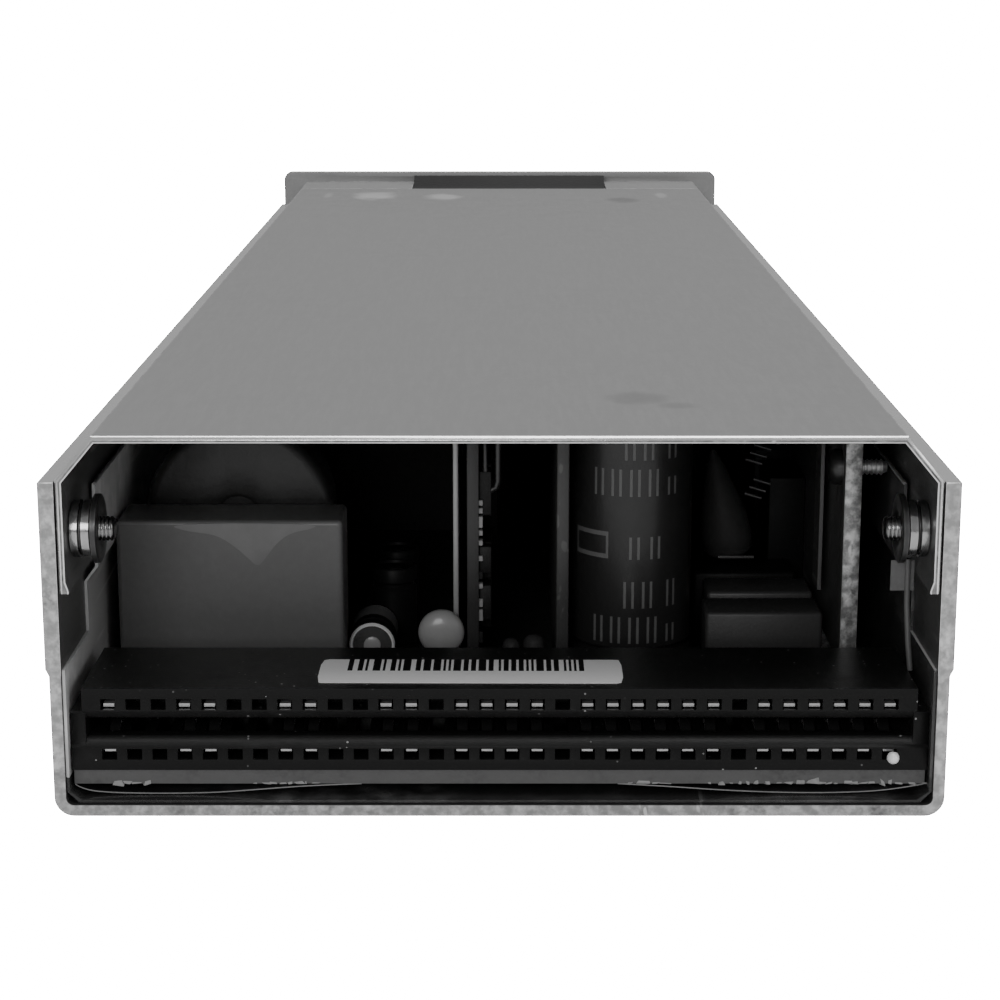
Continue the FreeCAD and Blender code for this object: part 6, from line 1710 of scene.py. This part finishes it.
@dataclass
class FaceplateEnd:
    """The far end: latch, handle, fan, inlet and lights."""

    latch_fill: float = 0.3 * MM
    latch_side: float = 0.4 * MM
    spring_bend: tuple[float, float] = (0.3 * MM, 0.9 * MM)

    def build(self) -> None:
        """Dress each piece on or behind the faceplate."""
        skins(("faceplate_screws", Look.STEEL, 0.15 * MM), ("latch_pin", Look.STEEL),
              ("pull_handle", Look.LATCH, 0.2 * MM), ("handle_screws", Look.STEEL),
              ("fan_frame", Look.FAN, 0.2 * MM), ("fan_screws", Look.STEEL, 0.15 * MM),
              ("mains_inlet", Look.INLET, 0.25 * MM), ("inlet_pins", Look.BRASS, 0.25 * MM),
              ("status_lights", Look.LENS, 0.1 * MM))
        skin("fan_rotor", Look.FAN, body="rotor")
        self.latch()

    def latch(self) -> None:
        """The latch, widened to fill its window, and the spring, left on no body."""
        latch = skin("release_latch", Look.LATCH, 0.25 * MM, body="latch")
        low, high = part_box("release_latch")
        middle, half = (low.x + high.x) / 2, (high.x - low.x) / 2
        for spot in latch.data.vertices:
            if abs(spot.co.x - middle) > half - self.latch_side:
                spot.co.x += math.copysign(self.latch_fill, spot.co.x - middle)
        spring = skin("latch_spring", Look.SPRING, body="")
        low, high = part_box("latch_pin")
        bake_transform(spring)


# ---------------------------------------------------------------- studio


@dataclass
class Studio:
    """The floor, the soft lights and the camera."""

    floor_reach: float = 30.0
    floor_gap: float = 0.1 * MM
    floor_tone: float = 0.8
    camera_depth: float = -213.67
    camera_height: float = 84.73
    camera_side: float = 0.05
    pitch: float = 12.62
    lens: float = 80.89
    shift: float = -0.04
    sensor: float = 36.0
    white: float = 30.0
    sky: float = 0.28

    def build(self) -> None:
        """Set the whole studio up."""
        self.floor()
        self.camera()
        self.surroundings()
        mouth = at(0, 0, 20)
        self.light("overhead", Vector((0.1, 0.08, 1.3)), Vector((0, 0, 0.02)), size=1.2, power=18.0)
        self.light("front", Vector((-0.25, -1.5, 0.55)), mouth, size=0.6, power=5.0)
        self.light("side", Vector((1.1, -0.5, 0.5)), mouth, size=0.6, power=2.0)

    def light(self, name: str, spot: Vector, aim: Vector, size: float, power: float) -> None:
        """A soft square light.

        Args:
            name: The light's name.
            spot: Where it stands.
            aim: What it points at.
            size: Length of its sides in metres.
            power: Its power in watts.
        """
        lamp = bpy.data.lights.new(name, "AREA")
        lamp.size = size
        lamp.energy = power
        stand = bpy.data.objects.new(name, lamp)
        stand.location = spot
        stand.rotation_euler = (aim - spot).to_track_quat("-Z", "Y").to_euler()
        bpy.context.scene.collection.objects.link(stand)

    def floor(self) -> None:
        """A plain pale floor that runs past the camera's view and looks white."""
        clear_selection()
        bpy.ops.mesh.primitive_plane_add(size=self.floor_reach * 2,
                                         location=(0, 0, cad_low.z - self.floor_gap))
        piece = settle(bpy.context.object, "floor")
        made, graph = fresh(bpy.data.materials, "pale_floor")
        matt = graph.add("BsdfDiffuse", {"Color": grey(self.floor_tone)}).outputs[0]
        glow = graph.add("Emission", {"Strength": self.white}).outputs[0]
        both = graph.add("AddShader", {0: matt, 1: glow}).outputs[0]
        seen = graph.add("LightPath").outputs["Is Camera Ray"]
        graph.show(graph.add("MixShader", {0: seen, 1: matt, 2: both}))
        piece.data.materials.append(made)

    def surroundings(self) -> None:
        """An even sky that looks white and lights the supply softly."""
        world, graph = fresh(bpy.data.worlds, "studio")
        seen = graph.add("LightPath").outputs["Is Camera Ray"]
        strength = graph.math("ADD", graph.times(seen, self.white), self.sky)
        graph.show(graph.add("Background", {"Color": grey(1.0), "Strength": strength}), "OutputWorld")
        bpy.context.scene.world = world

    def camera(self) -> None:
        """The camera in front of the open end, a little above the cover."""
        data = bpy.data.cameras.new("camera")
        data.lens = self.lens
        data.sensor_width = self.sensor
        data.shift_y = self.shift
        data.clip_start = 0.01
        eye = bpy.data.objects.new("camera", data)
        eye.location = at(self.camera_side, self.camera_depth, self.camera_height)
        eye.rotation_euler = (math.radians(90 - self.pitch), 0, 0)
        bpy.context.scene.collection.objects.link(eye)
        bpy.context.scene.camera = eye


def main() -> None:
    """Build every sub-assembly in order, then the studio."""
    logging.basicConfig(level=logging.INFO, format="%(name)s: %(message)s")
    for assembly in (SheetCase(), SideFasteners(), CardEdgeSocket(), InsulatingFilm(), Chokes(),
                     Uprights(), SmallCans(), OutputCans(), LooseParts(), MainBoard(), FaceplateEnd(),
                     Studio()):
        assembly.build()
        log.info("built %s", type(assembly).__name__)


if __name__ == "__main__":
    main()
